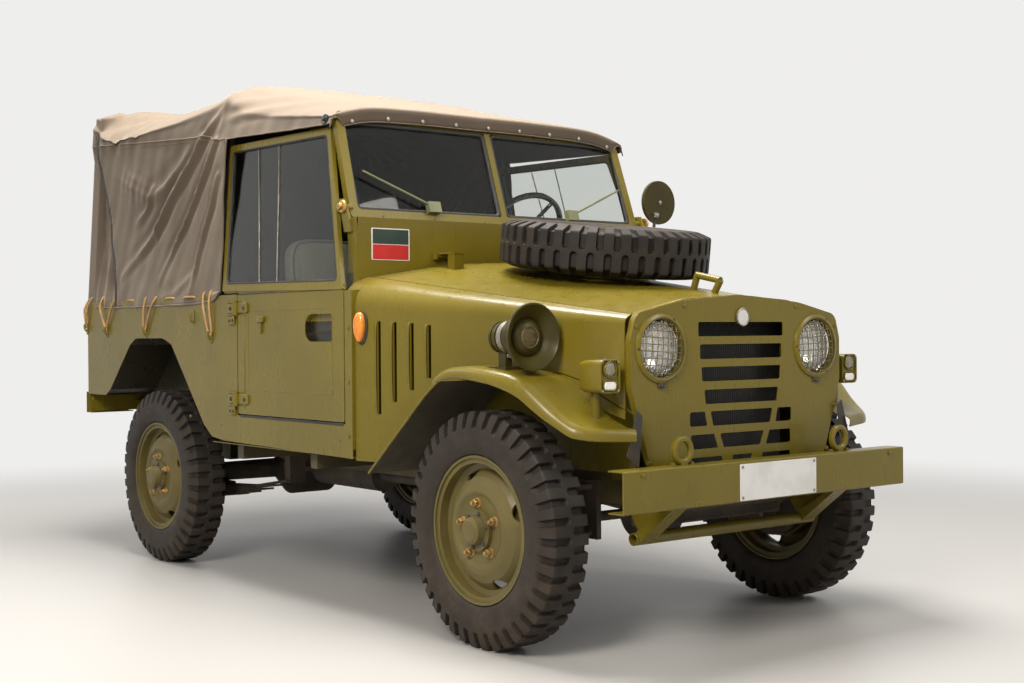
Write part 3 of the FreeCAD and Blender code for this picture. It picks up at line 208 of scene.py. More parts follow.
def makeGroups():
    # drift: slow changes of shade over a painted panel
    g, i, o = newGroup("shadeDrift", {"Place": None, "Base": (1, 1, 1, 1), "Shade": (0.5, 0.5, 0.5, 1), "Scale": 2.0},
                       {"Colour": "Color", "Mask": "Float"})
    mask = rampNode(g, noiseNode(g, i["Place"], i["Scale"], 4.0, 0.6), 0.35, 0.68)
    feed(g, o, {"Colour": mixColour(g, mask, i["Base"], i["Shade"]), "Mask": mask})
    # dust: settles on upward faces and low on the car
    g, i, o = newGroup("settledDust", {"Place": None, "Amount": 0.4, "Top": 0.7, "Scale": 9.0}, {"Mask": "Float"})
    up = splitXyz(g, g.nodes.new("ShaderNodeNewGeometry").outputs["Normal"])["Z"]
    low = sub(g, 1.0, rampNode(g, splitXyz(g, i["Place"])["Z"], 0.15, i["Top"]))
    both = add(g, mul(g, rampNode(g, up, 0.35, 1.0), 0.35), low, True)
    cloud = rampNode(g, noiseNode(g, i["Place"], i["Scale"], 6.0, 0.65), 0.32, 0.72)
    feed(g, o, {"Mask": mul(g, mul(g, both, cloud), i["Amount"], True)})
    # chips: small broken spots of paint
    g, i, o = newGroup("paintChips", {"Place": None, "Scale": 60.0, "Amount": 0.1}, {"Mask": "Float"})
    cells = addNode(g, "TexVoronoi", {"Vector": i["Place"], "Scale": i["Scale"]}).outputs["Distance"]
    spot = sub(g, 1.0, rampNode(g, cells, 0.05, 0.16))
    rare = rampNode(g, noiseNode(g, i["Place"], 4.0, 4.0, 0.7), 0.60, 0.68)
    feed(g, o, {"Mask": mul(g, mul(g, spot, rare), i["Amount"], True)})
    # grain: fine height for orange peel, rubber or casting
    g, i, o = newGroup("fineGrain", {"Place": None, "Scale": 300.0, "Coarse": 40.0, "Share": 0.3},
                       {"Height": "Float"})
    fine = noiseNode(g, i["Place"], i["Scale"], 2.0, 0.5)
    feed(g, o, {"Height": mixFloat(g, i["Share"], fine, noiseNode(g, i["Place"], i["Coarse"], 3.0, 0.6))})
    # weave: crossed threads on UV in metres, over-and-under as a chequer of two sine ridges
    g, i, o = newGroup("clothWeave", {"Place": None, "Threads": 700.0}, {"Height": "Float", "Mask": "Float"})
    at = splitXyz(g, i["Place"])
    su, sw = (mathNode(g, "SINE", mul(g, at[k], mul(g, i["Threads"], pi))) for k in "XY")
    pick = rampNode(g, mul(g, su, sw), -0.2, 0.2)
    feed(g, o, {"Height": mixFloat(g, pick, mathNode(g, "ABSOLUTE", su), mathNode(g, "ABSOLUTE", sw)), "Mask": pick})


makeGroups()


def useGroup(t, name, place, **values):
    return addNode(t, "Group", dict(values, Place=place), node_tree=bpy.data.node_groups[name]).outputs


def addBump(t, b, height, strength, depth):
    n = addNode(t, "Bump", {"Strength": strength, "Distance": depth, "Height": height})
    feed(t, b, {"Normal": n.outputs["Normal"]})


# hard finishes by column: two shades and their size, dust, chips, gloss range, grain, height and coat
hardColumns = ("base", "shade", "scale", "dust", "dustAmount", "dustTop", "chip", "chipAmount", "chipScale",
               "rough", "grain", "coarse", "share", "height", "coat")
hardRows = {"oliveArmyPaint": ((0.158, 0.121, 0.010), (0.130, 0.101, 0.009), 1.6, (0.22, 0.17, 0.06), 0.06, 0.70,
                               (0.045, 0.035, 0.02), 0.7, 70, (0.24, 0.36), 420, 22, 0.55, 0.0005, 0.05),
            "olivePaintInside": ((0.105, 0.100, 0.035), (0.085, 0.080, 0.028), 2.5, (0.20, 0.17, 0.11), 0.35, 0.9,
                                 (0.04, 0.03, 0.02), 0.5, 60, (0.45, 0.6), 300, 30, 0.4, 0.0006, 0.0),
            "oliveWheelPaint": ((0.112, 0.093, 0.022), (0.090, 0.073, 0.018), 6.0, (0.16, 0.105, 0.05), 0.35, 0.9,
                                (0.05, 0.03, 0.015), 1.0, 90, (0.36, 0.60), 260, 30, 0.5, 0.0008, 0.05),
            "oliveChassisPaint": ((0.058, 0.048, 0.011), (0.036, 0.029, 0.012), 4.0, (0.12, 0.085, 0.040), 0.7, 0.9,
                                  (0.07, 0.035, 0.015), 1.0, 45, (0.42, 0.70), 200, 36, 0.5, 0.0012, 0.0),
            "linerPaint": ((0.030, 0.025, 0.012), (0.050, 0.038, 0.020), 6.0, (0.14, 0.105, 0.062), 0.8, 0.9,
                           (0.02, 0.015, 0.01), 0.8, 60, (0.55, 0.80), 180, 30, 0.5, 0.0014, 0.0),
            "blackChassisPaint": ((0.022, 0.020, 0.016), (0.040, 0.028, 0.018), 7.0, (0.11, 0.075, 0.042), 0.75,
                                  0.9, (0.10, 0.045, 0.018), 1.0, 45, (0.45, 0.75), 200, 36, 0.5, 0.0012, 0.0),
            "castMetal": ((0.050, 0.046, 0.040), (0.030, 0.026, 0.020), 9.0, (0.10, 0.07, 0.04), 0.7, 1.0,
                          (0.08, 0.04, 0.02), 0.8, 50, (0.5, 0.75), 160, 50, 0.5, 0.0018, 0.0),
            "greyGreenPaint": ((0.155, 0.160, 0.070), (0.12, 0.13, 0.065), 14.0, (0.25, 0.22, 0.15), 0.2, 0.9,
                               (0.06, 0.05, 0.03), 0.8, 120, (0.35, 0.5), 400, 60, 0.5, 0.0006, 0.1),
            # horn and mirror paint: a dark olive, darkened to stand for the shade inside the horn's trumpet, so
            # partly painted shade
            "hornPaintDarkenedForShade": ((0.050, 0.040, 0.006), (0.036, 0.029, 0.005), 9.0, (0.14, 0.11, 0.04), 0.08, 0.8,
                          (0.03, 0.025, 0.015), 0.9, 110, (0.28, 0.48), 380, 40, 0.5, 0.0006, 0.03),
            "whitePlate": ((0.72, 0.72, 0.70), (0.64, 0.63, 0.60), 9.0, (0.35, 0.30, 0.20), 0.18, 0.8,
                           (0.30, 0.28, 0.24), 0.5, 150, (0.30, 0.45), 400, 50, 0.5, 0.0004, 0.1),
            "signGreen": ((0.012, 0.030, 0.022), (0.020, 0.042, 0.030), 14.0, (0.2, 0.17, 0.1), 0.08, 1.4,
                          (0.2, 0.2, 0.18), 0.4, 160, (0.3, 0.42), 400, 50, 0.5, 0.0004, 0.1),
            "signRed": ((0.50, 0.022, 0.018), (0.42, 0.018, 0.015), 14.0, (0.3, 0.2, 0.1), 0.08, 1.4,
                        (0.4, 0.3, 0.25), 0.4, 160, (0.3, 0.42), 400, 50, 0.5, 0.0004, 0.1),
            "blackRubber": ((0.012, 0.012, 0.011), (0.020, 0.018, 0.016), 12.0, (0.08, 0.065, 0.045), 0.3, 1.9,
                            (0.03, 0.03, 0.03), 0.3, 120, (0.55, 0.75), 300, 60, 0.4, 0.0008, 0.0),
            "blackPlastic": ((0.010, 0.010, 0.009), (0.016, 0.015, 0.013), 12.0, (0.08, 0.07, 0.05), 0.15, 1.9,
                             (0.03, 0.03, 0.03), 0.3, 140, (0.18, 0.32), 300, 60, 0.4, 0.0003, 0.3),
            "agedBrass": ((0.55, 0.36, 0.12), (0.36, 0.22, 0.08), 40.0, (0.12, 0.08, 0.04), 0.5, 1.2,
                          (0.10, 0.07, 0.03), 0.9, 260, (0.28, 0.5), 500, 120, 0.5, 0.0005, 0.0),
            "dullSteel": ((0.34, 0.32, 0.28), (0.22, 0.19, 0.15), 40.0, (0.12, 0.08, 0.04), 0.4, 1.6,
                          (0.12, 0.06, 0.03), 0.9, 260, (0.30, 0.5), 500, 120, 0.5, 0.0005, 0.0),
            "wireMesh": ((0.20, 0.16, 0.07), (0.12, 0.09, 0.04), 40.0, (0.2, 0.15, 0.08), 0.3, 1.6,
                         (0.30, 0.26, 0.2), 0.9, 300, (0.35, 0.55), 500, 120, 0.5, 0.0004, 0.0)}
hardExtra = {"oliveArmyPaint": dict(under=((-1.60, 0.52), 0.7380, 0.985), gloss=0.30),
             "oliveWheelPaint": dict(gloss=0.35), "hornPaintDarkenedForShade": dict(gloss=0.20), "agedBrass": dict(metal=1.0),
             "dullSteel": dict(metal=1.0), "wireMesh": dict(metal=0.6)}
# colour of the painted shade inside and under the body
paintedShadeColour = (0.020, 0.017, 0.009)


def hardFinish(name, s):
    mat, t, b, coord = newFinish(name)
    place = coord["Object"]
    drift = useGroup(t, "shadeDrift", place, Base=s["base"], Shade=s["shade"], Scale=s["scale"])
    chips = useGroup(t, "paintChips", place, Scale=s["chipScale"], Amount=s["chipAmount"])["Mask"]
    dust = useGroup(t, "settledDust", place, Amount=s["dustAmount"], Top=s["dustTop"])["Mask"]
    colour = mixColour(t, chips, drift["Colour"], s["chip"])
    if "under" in s:
        # painted shade: a dark colour inside the body box, away from its outer skin, standing for the shade in and
        # under the body
        (x0, x1), wide, top = s["under"]
        at = splitXyz(t, place)
        within = mathNode(t, "LESS_THAN", mathNode(t, "ABSOLUTE", at["Y"]), wide)
        inside = mul(t, within, mathNode(t, "LESS_THAN", at["Z"], top))
        along = mul(t, mathNode(t, "GREATER_THAN", at["X"], x0), mathNode(t, "LESS_THAN", at["X"], x1))
        colour = mixColour(t, mul(t, inside, along), colour, paintedShadeColour)
    streak = noiseNode(t, place, 7.0, 5.0, 0.6, (3.0, 3.0, 0.7))
    low, high = s["rough"]
    rough = addNode(t, "MapRange", {"Value": streak, "From Min": 0.3, "From Max": 0.7, "To Min": low, "To Max": high})
    rough = add(t, rough.outputs["Result"], mul(t, dust, 0.35), True)
    feed(t, b, {"Base Color": mixColour(t, dust, colour, s["dust"]), "Roughness": rough})
    height = useGroup(t, "fineGrain", place, Scale=s["grain"], Coarse=s["coarse"], Share=s["share"])["Height"]
    addBump(t, b, sub(t, height, mul(t, chips, 0.6)), 0.35, s["height"])
    if "metal" in s:
        feed(t, b, {"Metallic": sub(t, s["metal"], mul(t, dust, s["metal"]), True)})
    if "gloss" in s:
        feed(t, b, {"Specular IOR Level": s["gloss"]})
    if s["coat"]:
        feed(t, b, {"Coat Weight": mul(t, sub(t, 1.0, dust, True), s["coat"]), "Coat Roughness": 0.16})
    return mat


hardSet = {name: dict(zip(hardColumns, row), **hardExtra.get(name, {})) for name, row in hardRows.items()}
# the rear bumper's copy has a wider box of painted shade, taking in the bumper's whole width
hardSet["rearBumperPaint"] = dict(hardSet["oliveArmyPaint"], under=((-1.695, 0.52), 0.90, 0.985))
finish = {name: hardFinish(name, s) for name, s in hardSet.items()}

clothSet = {"canopyCanvas": dict(base=(0.100, 0.070, 0.045), shade=(0.074, 0.051, 0.032),
                                 stain=(0.048, 0.033, 0.021), paintedTopLight=(0.250, 0.190, 0.136), threads=560, scale=1.8,
                                 rough=0.86, height=0.0011, sheen=0.35, sheenTint=(0.72, 0.64, 0.53)),
            "seatCloth": dict(base=(0.150, 0.150, 0.105), shade=(0.110, 0.108, 0.075), stain=(0.075, 0.070, 0.048),
                              threads=420, scale=5.0, rough=0.7, height=0.0008, sheen=0.2,
                              sheenTint=(0.6, 0.6, 0.5)),
            "tanWebbing": dict(base=(0.42, 0.285, 0.130), shade=(0.30, 0.195, 0.085), stain=(0.17, 0.11, 0.05),
                               threads=300, scale=12.0, rough=0.8, height=0.0010, sheen=0.2,
                               sheenTint=(0.7, 0.6, 0.45))}


def clothFinish(name, s):
    # the weave follows the piece's own UV, which is in metres of cloth
    mat, t, b, coord = newFinish(name)
    uv, place = coord["UV"], coord["Object"]
    weave = useGroup(t, "clothWeave", uv, Threads=s["threads"])
    drift = useGroup(t, "shadeDrift", place, Base=s["base"], Shade=s["shade"], Scale=s["scale"])
    stain = rampNode(t, noiseNode(t, place, 2.6, 7.0, 0.68), 0.52, 0.78)
    colour = mixColour(t, mul(t, stain, 0.55), drift["Colour"], s["stain"])
    if "paintedTopLight" in s:
        # painted light: whatever faces up is made paler, standing for the light from above
        up = splitXyz(t, t.nodes.new("ShaderNodeNewGeometry").outputs["Normal"])["Z"]
        colour = mixColour(t, mul(t, rampNode(t, up, 0.10, 0.72), 0.92), colour, s["paintedTopLight"])
    slub = noiseNode(t, uv, 90.0, 3.0, 0.7, (1.0, 8.0, 1.0))
    shade = add(t, mul(t, slub, 0.35), mul(t, weave["Mask"], 0.16))
    feed(t, b, {"Base Color": mixColour(t, shade, colour, (0.03, 0.022, 0.014)), "Roughness": s["rough"],
                "Sheen Weight": s["sheen"], "Sheen Tint": s["sheenTint"], "Sheen Roughness": 0.5})
    soft = noiseNode(t, place, 26.0, 4.0, 0.6)
    addBump(t, b, add(t, mul(t, weave["Height"], 0.35), mul(t, soft, 1.4)), 0.5, s["height"])
    return mat


finish.update({name: clothFinish(name, s) for name, s in clothSet.items()})


def ropeFinish(name, base, shade, hollowShade):
    # laid strands: slanted ridges along the rope's own UV, with painted shade in the hollows between the strands
    mat, t, b, coord = newFinish(name)
    at = splitXyz(t, coord["UV"])
    ridge = absSine(t, add(t, mul(t, at["X"], 700.0), mul(t, at["Y"], 6.283)))
    drift = useGroup(t, "shadeDrift", coord["Object"], Base=base, Shade=shade, Scale=30.0)
    feed(t, b, {"Base Color": mixColour(t, sub(t, 1.0, ridge), drift["Colour"], hollowShade), "Roughness": 0.75})
    addBump(t, b, ridge, 0.6, 0.0012)
    return mat


def tyreFinish(name):
    # the attribute wall is 1 on the sidewalls, where brown dust clings; groove is 1 deep in the tread
    mat, t, b, coord = newFinish(name)
    place = coord["Object"]
    wall, groove = (addNode(t, "Attribute", attribute_name=k).outputs["Fac"] for k in ("wall", "groove"))
    drift = useGroup(t, "shadeDrift", place, Base=(0.016, 0.0136, 0.0116), Shade=(0.027, 0.0215, 0.016), Scale=14.0)
    brown = useGroup(t, "shadeDrift", place, Base=(0.030, 0.0215, 0.0145), Shade=(0.020, 0.0145, 0.0105), Scale=11.0)
    patch = rampNode(t, noiseNode(t, place, 18.0, 6.0, 0.7), 0.38, 0.66)
    colour = mixColour(t, mul(t, wall, add(t, mul(t, patch, 0.5), 0.45), True), drift["Colour"], brown["Colour"])
    # painted shade: the floors of the tread slots are darkened
    colour = mixColour(t, mul(t, groove, 0.7), colour, (0.012, 0.009, 0.007))
    dust = useGroup(t, "settledDust", place, Amount=0.22, Top=0.5, Scale=16.0)["Mask"]
    rough = add(t, mul(t, noiseNode(t, place, 22.0, 4.0, 0.6), 0.3), 0.48)
    feed(t, b, {"Base Color": mixColour(t, dust, colour, (0.11, 0.08, 0.05)), "Roughness": rough,
                "Specular IOR Level": 0.28})
    addBump(t, b, useGroup(t, "fineGrain", place, Scale=420, Coarse=60, Share=0.5)["Height"], 0.4, 0.0014)
    return mat


def glassFinish(name, tint, rough, smear):
    mat, t, b, coord = newFinish(name)
    cloud = rampNode(t, noiseNode(t, coord["Object"], 5.0, 6.0, 0.7, (1, 1, 0.5)), 0.45, 0.8)
    feed(t, b, {"Base Color": tint, "Transmission Weight": 1.0, "IOR": 1.27,
                "Roughness": add(t, mul(t, cloud, smear), rough)})
    return mat


def lensFinish(name, tint, ribs):
    # pressed ribs run across the lens as a sine of its own height
    mat, t, b, coord = newFinish(name)
    at = splitXyz(t, coord["Object"])
    wave, cross = absSine(t, mul(t, at["Y"], ribs)), absSine(t, mul(t, at["Z"], ribs * 0.35))
    addBump(t, b, add(t, wave, mul(t, cross, 0.5)), 0.6, 0.003)
    feed(t, b, {"Base Color": tint, "Transmission Weight": 0.85, "Roughness": 0.12, "IOR": 1.45})
    return mat


def colouredLens(name, tint, shade):
    # cast coloured plastic with small pressed pips
    mat, t, b, coord = newFinish(name)
    pips = addNode(t, "TexVoronoi", {"Scale": 220, "Vector": coord["Object"]}).outputs["Distance"]
    drift = useGroup(t, "shadeDrift", coord["Object"], Base=tint, Shade=shade, Scale=22.0)
    feed(t, b, {"Base Color": drift["Colour"], "Roughness": 0.22, "Coat Weight": 0.5})
    addBump(t, b, pips, 0.4, 0.0015)
    return mat


def mirrorFinish(name, tint):
    mat, t, b, coord = newFinish(name)
    cloud = rampNode(t, noiseNode(t, coord["Object"], 20.0, 5.0, 0.7), 0.5, 0.85)
    feed(t, b, {"Base Color": tint, "Metallic": 1.0, "Roughness": add(t, mul(t, cloud, 0.12), 0.03)})
    return mat


def coreFinish(name, dark, light, mud):
    # radiator core: upright tubes crossed by close fins, with painted light on their crests and painted shade between
    # them
    mat, t, b, coord = newFinish(name)
    at = splitXyz(t, coord["Object"])
    tube, fin = absSine(t, mul(t, at["Y"], 330.0)), absSine(t, mul(t, at["Z"], 900.0))
    crestLight = mul(t, rampNode(t, tube, 0.55, 0.95), rampNode(t, fin, 0.2, 0.9))
    dirt = rampNode(t, noiseNode(t, coord["Object"], 14.0, 5.0, 0.7), 0.35, 0.7)
    colour = mixColour(t, crestLight, dark, light)
    feed(t, b, {"Base Color": mixColour(t, mul(t, dirt, 0.4), colour, mud), "Roughness": 0.6})
    addBump(t, b, add(t, tube, fin), 0.8, 0.003)
    return mat


for make, name, values in ((ropeFinish, "tanRope", ((0.62, 0.38, 0.14), (0.46, 0.27, 0.09), (0.10, 0.05, 0.015))),
                           (tyreFinish, "tyreRubber", ()),
                           (glassFinish, "windowGlass", ((0.80, 0.82, 0.80), 0.015, 0.05)),
                           (lensFinish, "lampLens", ((0.95, 0.94, 0.90), 260.0)),
                           (colouredLens, "orangeLens", ((0.80, 0.27, 0.015), (0.62, 0.17, 0.008))),
                           (colouredLens, "redLens", ((0.42, 0.015, 0.010), (0.30, 0.010, 0.008))),
                           (colouredLens, "whiteLens", ((0.86, 0.85, 0.80), (0.74, 0.73, 0.68))),
                           (mirrorFinish, "silveredGlass", ((0.82, 0.84, 0.83),)),
                           (coreFinish, "radiatorCore", ((0.004, 0.004, 0.004), (0.050, 0.042, 0.032),
                                   (0.022, 0.017, 0.012)))):
    finish[name] = make(name, *values)
print("finishes:", len(finish))


# geometry helpers: a part is (vertices as an array, faces as index tuples)
def gridFaces(nu, nv, loopU=False, loopV=False):
    # quads between neighbouring rows and columns, point number = row * nv + column
    iu = np.arange(nu if loopU else nu - 1)
    iv = np.arange(nv if loopV else nv - 1)
    u, v = np.meshgrid(iu, iv, indexing="ij")
    u2, v2 = (u + 1) % nu, (v + 1) % nv
    return np.stack([u * nv + v, u2 * nv + v, u2 * nv + v2, u * nv + v2], -1).reshape(-1, 4)


def mergeParts(parts):
    verts, faces, base = [], [], 0
    for v, f in parts:
        v = np.asarray(v, float).reshape(-1, 3)
        verts.append(v)
        faces += (f + base).tolist() if isinstance(f, np.ndarray) else [[k + base for k in face] for face in f]
        base += len(v)
    return np.concatenate(verts), faces


def basis(axis, hint=(0, 0, 1)):
    # three unit rows: the axis and two more square to it
    a = np.asarray(axis, float)
    a = a / np.linalg.norm(a)
    h = np.asarray(hint, float)
    if abs(a @ h) > 0.97 * np.linalg.norm(h):
        h = np.array((1.0, 0, 0)) if abs(a[0]) < 0.9 else np.array((0, 1.0, 0))
    b = h - a * (a @ h)
    b = b / np.linalg.norm(b)
    return a, b, np.cross(a, b)


def lathe(rows, at, axis, n=48, hint=(0, 0, 1), start=0.0):
    # rows of (along, radius) turned about the axis through at
    a, b, c = basis(axis, hint)
    rows = np.asarray(rows, float)
    t = start + np.arange(n) / n * 2 * pi
    ring = np.cos(t)[:, None] * b + np.sin(t)[:, None] * c
    v = np.asarray(at, float) + rows[:, 0, None, None] * a + rows[:, 1, None, None] * ring[None]
    return v.reshape(-1, 3), gridFaces(len(rows), n, False, True)


def tube(a, b, r, at, axis, n):
    # a closed cylinder from a to b along the axis
    return lathe([(a, 0), (a, r), (b, r), (b, 0)], at, axis, n)


def smoothPath(points, steps=8, closed=False):
    # a curve through the points, each span a cubic set by its two neighbours
    p = np.asarray(points, float)
    n = len(p)
    k = np.arange(n if closed else n - 1)
    if closed:
        p0, p1, p2, p3 = p[(k - 1) % n], p[k], p[(k + 1) % n], p[(k + 2) % n]
    else:
        p0, p1, p2, p3 = p[np.maximum(k - 1, 0)], p[k], p[k + 1], p[np.minimum(k + 2, n - 1)]
    t = (np.arange(steps) / steps)[None, :, None]
    p0, p1, p2, p3 = (q[:, None, :] for q in (p0, p1, p2, p3))
    out = 0.5 * (2 * p1 + (p2 - p0) * t + (2 * p0 - 5 * p1 + 4 * p2 - p3) * t * t
                     + (3 * p1 - p0 - 3 * p2 + p3) * t ** 3)
    out = out.reshape(-1, p.shape[1])
    return out if closed else np.vstack([out, p[-1:]])


def sweep(path, profile, up=(0, 0, 1), closed=False, caps=True):
    # a closed profile of (across, height) carried along the path and kept upright by up
    p = np.asarray(path, float)
    prof = np.asarray(profile, float)
    d = np.roll(p, -1, 0) - np.roll(p, 1, 0) if closed else np.gradient(p, axis=0)
    d = d / np.linalg.norm(d, axis=1)[:, None]
    u = np.asarray(up, float)
    side = np.cross(d, u)
    weak = np.linalg.norm(side, axis=1) < 0.05
    side[weak] = np.cross(d[weak], (1.0, 0.02, 0.01))
    side = side / np.linalg.norm(side, axis=1)[:, None]
    top = np.cross(side, d)
    v = p[:, None] + prof[None, :, 0, None] * side[:, None] + prof[None, :, 1, None] * top[:, None]
    m = len(prof)
    if caps and not closed:
        v = np.concatenate([np.repeat(p[:1, None], m, 1), v, np.repeat(p[-1:, None], m, 1)])
    return v.reshape(-1, 3), gridFaces(len(v), m, closed, True)


def roundProfile(r, n=10):
    t = np.arange(n) / n * 2 * pi
    return np.stack([np.cos(t) * r, np.sin(t) * r], 1)


def flatBar(w, t):
    # a flat strip's section by its half width and half thickness
    return np.array(((-w, -t), (w, -t), (w, t), (-w, t)))


def rod(path, r, n=10, closed=False, up=(0, 0, 1)):
    return sweep(path, roundProfile(r, n), up, closed)


def hoop(at, r, wire, n):
    # a wire ring facing forward
    x, y, z = at
    return rod([(x, y + r * sin(a), z + r * cos(a)) for a in np.arange(n) / n * 2 * pi], wire, 8, True, (1, 0, 0))


def roundRect(w, h, r, n=6):
    # outline of a rectangle w by h with round corners, counter-clockwise
    t = np.linspace(0, pi / 2, n)
    cx, cy = w / 2 - r, h / 2 - r
    pts = [np.stack([sx * cx + r * np.cos(t + a), sy * cy + r * np.sin(t + a)], 1)
           for sx, sy, a in ((1, 1, 0), (-1, 1, pi / 2), (-1, -1, pi), (1, -1, 3 * pi / 2))]
    return np.concatenate(pts)


def plate(outline, thick, at, out, up=(0, 0, 1), edge=0.001):
    # a flat sheet of the outline, its rim rounded by edge; outline in (right, up) seen from outside
    o, u, r = basis(out, up)
    r = np.cross(u, o)
    pts = np.asarray(outline, float)
    mid = pts.mean(0)
    small = mid + (pts - mid) * (1 - edge / np.abs(pts - mid).max(0).clip(1e-4))
    rings = [(small, 0.0), (pts, edge), (pts, thick - edge), (small, thick)]
    v = np.concatenate([np.asarray(at, float) + q[:, :1] * r + q[:, 1:] * u + h * o for q, h in rings])
    n = len(pts)
    faces = gridFaces(4, n, False, True).tolist()
    return v, faces + [list(range(n))[::-1], list(range(3 * n, 4 * n))]


def bolt(at, axis, r=0.007, h=0.005, sides=6):
    # washer, hexagon and a low crown
    return mergeParts([lathe([(-0.001, 0), (-0.001, r * 1.45), (0.0012, r * 1.45), (0.0012, 0)], at, axis, 18),
                       lathe([(0, 0), (0, r), (h, r), (h + 0.0006, r * 0.8), (h + 0.0008, 0)], at, axis, sides)])


def rivet(at, axis, r=0.006, h=0.003):
    t = np.linspace(0, pi / 2, 5)
    rows = [(-0.001, 0), (-0.001, r)] + [(h * sin(a), r * cos(a)) for a in t]
    return lathe(rows, at, axis, 14)


def blockPart(lo, hi, edge=0.002):
    # a box with its long edges rounded
    lo, hi = np.asarray(lo, float), np.asarray(hi, float)
    mid, s = (lo + hi) / 2, hi - lo
    return plate(roundRect(s[0], s[1], min(edge, s[0] / 3, s[1] / 3), 3), s[2], (mid[0], mid[1], lo[2]), (0, 0, 1),
                 (0, 1, 0), min(edge, s[2] / 3))


def sideBlock(side, x, y, z, edge=0.003):
    # a block by its pairs of x, y and z, with y measured outward on that side
    lo, hi = sorted(side * k for k in y)
    return blockPart((x[0], lo, z[0]), (x[1], hi, z[1]), edge)


def addObject(name, mesh, mat, body):
    mesh.materials.append(finish[mat])
    obj = bpy.data.objects.new(name, mesh)
    bpy.context.scene.collection.objects.link(obj)
    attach(obj, body)
    return obj


def putPiece(name, parts, mat="oliveArmyPaint", body="car_body", sharp=34, uv=None, weld=True,
             outward=True):
    v, f = mergeParts(parts)
    mesh = bpy.data.meshes.new(name)
    mesh.from_pydata(v.tolist(), [], f)
    if weld:
        work = bmesh.new()
        work.from_mesh(mesh)
        bmesh.ops.remove_doubles(work, verts=work.verts, dist=1e-5)
        if outward:
            bmesh.ops.recalc_face_normals(work, faces=work.faces)
        work.to_mesh(mesh)
        work.free()
    mesh.validate()
    mesh.shade_smooth()
    if sharp:
        mesh.set_sharp_from_angle(angle=radians(sharp))
    if uv is not None:
        layer = mesh.uv_layers.new(name="cloth")
        loops = np.empty(len(mesh.loops), int)
        mesh.loops.foreach_get("vertex_index", loops)
        layer.data.foreach_set("uv", np.asarray(uv, np.float32)[loops].ravel())
    return addObject(name, mesh, mat, body)


def mirrored(parts):
    # the parts and their copies across the centre plane
    return [(np.asarray(v, float) * (1, k, 1), f) for v, f in parts for k in (1, -1)]


def bulge(x, at, width):
    return np.exp(-((x - at) / width) ** 2)


def ease(x):
    x = np.clip(x, 0, 1)
    return x * x * (3 - 2 * x)


# the frame's own parts take their finishes
nodeFinish = {"oliveArmyPaint": ("front_bumper", "bumper_brace", "cowl", "front_wings", "grille_panel",
                                 "windscreen_frame", "bonnet", "door_right", "door_left", "tailgate", "tub"),
              "hornPaintDarkenedForShade": ("siren_horn", "mirror"), "rearBumperPaint": ("rear_bumpers",),
              "oliveWheelPaint": ("wheel_front_right", "wheel_front_left", "wheel_rear_right", "wheel_rear_left",
                                  "spare_wheel"),
              "oliveChassisPaint": ("chassis_frame",),
              "blackChassisPaint": ("leaf_springs", "exhaust", "canopy_hoops", "knuckle_right", "knuckle_left",
                                    "front_suspension", "rear_axle"),
              "castMetal": ("engine", "transmission"), "radiatorCore": ("radiator",),
              "windowGlass": ("windscreen_glass", "door_right_glass", "door_left_glass"),
              "greyGreenPaint": ("wipers",), "blackPlastic": ("steering_wheel",)}
for label, names in nodeFinish.items():
    for n in names:
        mesh = nodes[n].data
        mesh.materials.clear()
        mesh.materials.append(finish[label])
print("frame parts finished")

tyreSet = {"lugs": 40, "slotHalf": 0.0112, "slotDepth": 0.0125, "ribHalf": 0.0045, "fadeLow": 0.298,
           "fadeHigh": 0.316,
           "wall": ((56, 204.5), (56.2, 214), (58, 222.8), (64, 223.6), (70.4, 227.6), (73.2, 233), (75.5, 240),
                    (76.6, 243), (78.4, 250), (79.6, 258), (80, 266), (80, 276), (79.7, 286), (79.3, 294),
                    (78.9, 300), (78.4, 305.5), (77.6, 311), (75.4, 318), (72.8, 325.6), (70, 333), (67.2, 340.4),
                    (65, 346), (62.9, 350.6), (60.4, 353.3)),
           "tread": ((57.4, 354.1), (53, 354.4), (46, 354.6), (38, 354.7), (30, 354.8), (22, 354.85), (17.5, 354.9),
                     (15, 354.9), (12.6, 354.9), (10.4, 354.95), (8.4, 354.95), (6.6, 354.95), (5.0, 354.95),
                     (2.5, 354.95), (0, 354.95)),
           "places": (("tyre_front_right", "road_wheel_front_right"), ("tyre_front_left", "road_wheel_front_left"),
                      ("tyre_rear_right", "road_wheel_rear_right"), ("tyre_rear_left", "road_wheel_rear_left"),
                      ("spare_tyre", "bonnet_lid"))}


def tyreShape(s):
    # staggered slots either side of a middle rib: each is a capsule cut square to the surface, fading down the wall
    half = np.array(s["wall"] + s["tread"]) / 1000
    prof = np.concatenate([half * (-1, 1), half[-2::-1]])
    slope = np.gradient(prof, axis=0)
    out = np.stack([-slope[:, 1], slope[:, 0]], 1)
    out /= np.linalg.norm(out, axis=1)[:, None]
    share = np.array([-0.225, -0.178, -0.09, 0, 0.09, 0.178, 0.225, 0.275, 0.322, 0.41, 0.5, 0.59, 0.678, 0.725])
    turn = ((np.arange(s["lugs"])[:, None] + share) / s["lugs"]).ravel()
    y, r = prof[None, :, 0], prof[None, :, 1]
    phase = turn[:, None] * s["lugs"] + np.where(y > 0, 0.0, 0.5)
    across = np.abs(phase - np.round(phase)) * 2 * pi * 0.35 / s["lugs"]
    end = np.maximum(s["ribHalf"] + s["slotHalf"] - np.abs(y), 0)
    inside = s["slotHalf"] - np.hypot(across, end)
    cut = ease(inside / 0.0013) * ease((r - s["fadeLow"]) / (s["fadeHigh"] - s["fadeLow"]))
    deep = cut * s["slotDepth"]
    # two low rings on the sidewall
    rise = 0.0009 * (bulge(r, 0.2405, 0.0022) + bulge(r, 0.2965, 0.0018)) * (np.abs(y) > 0.07)
    yy = y + (rise - deep) * out[None, :, 0]
    rr = r + (rise - deep) * out[None, :, 1]
    side = ease((np.abs(y) - 0.0602) / 0.0025) + 0 * turn[:, None]
    return turn * 2 * pi, yy, rr, side, cut


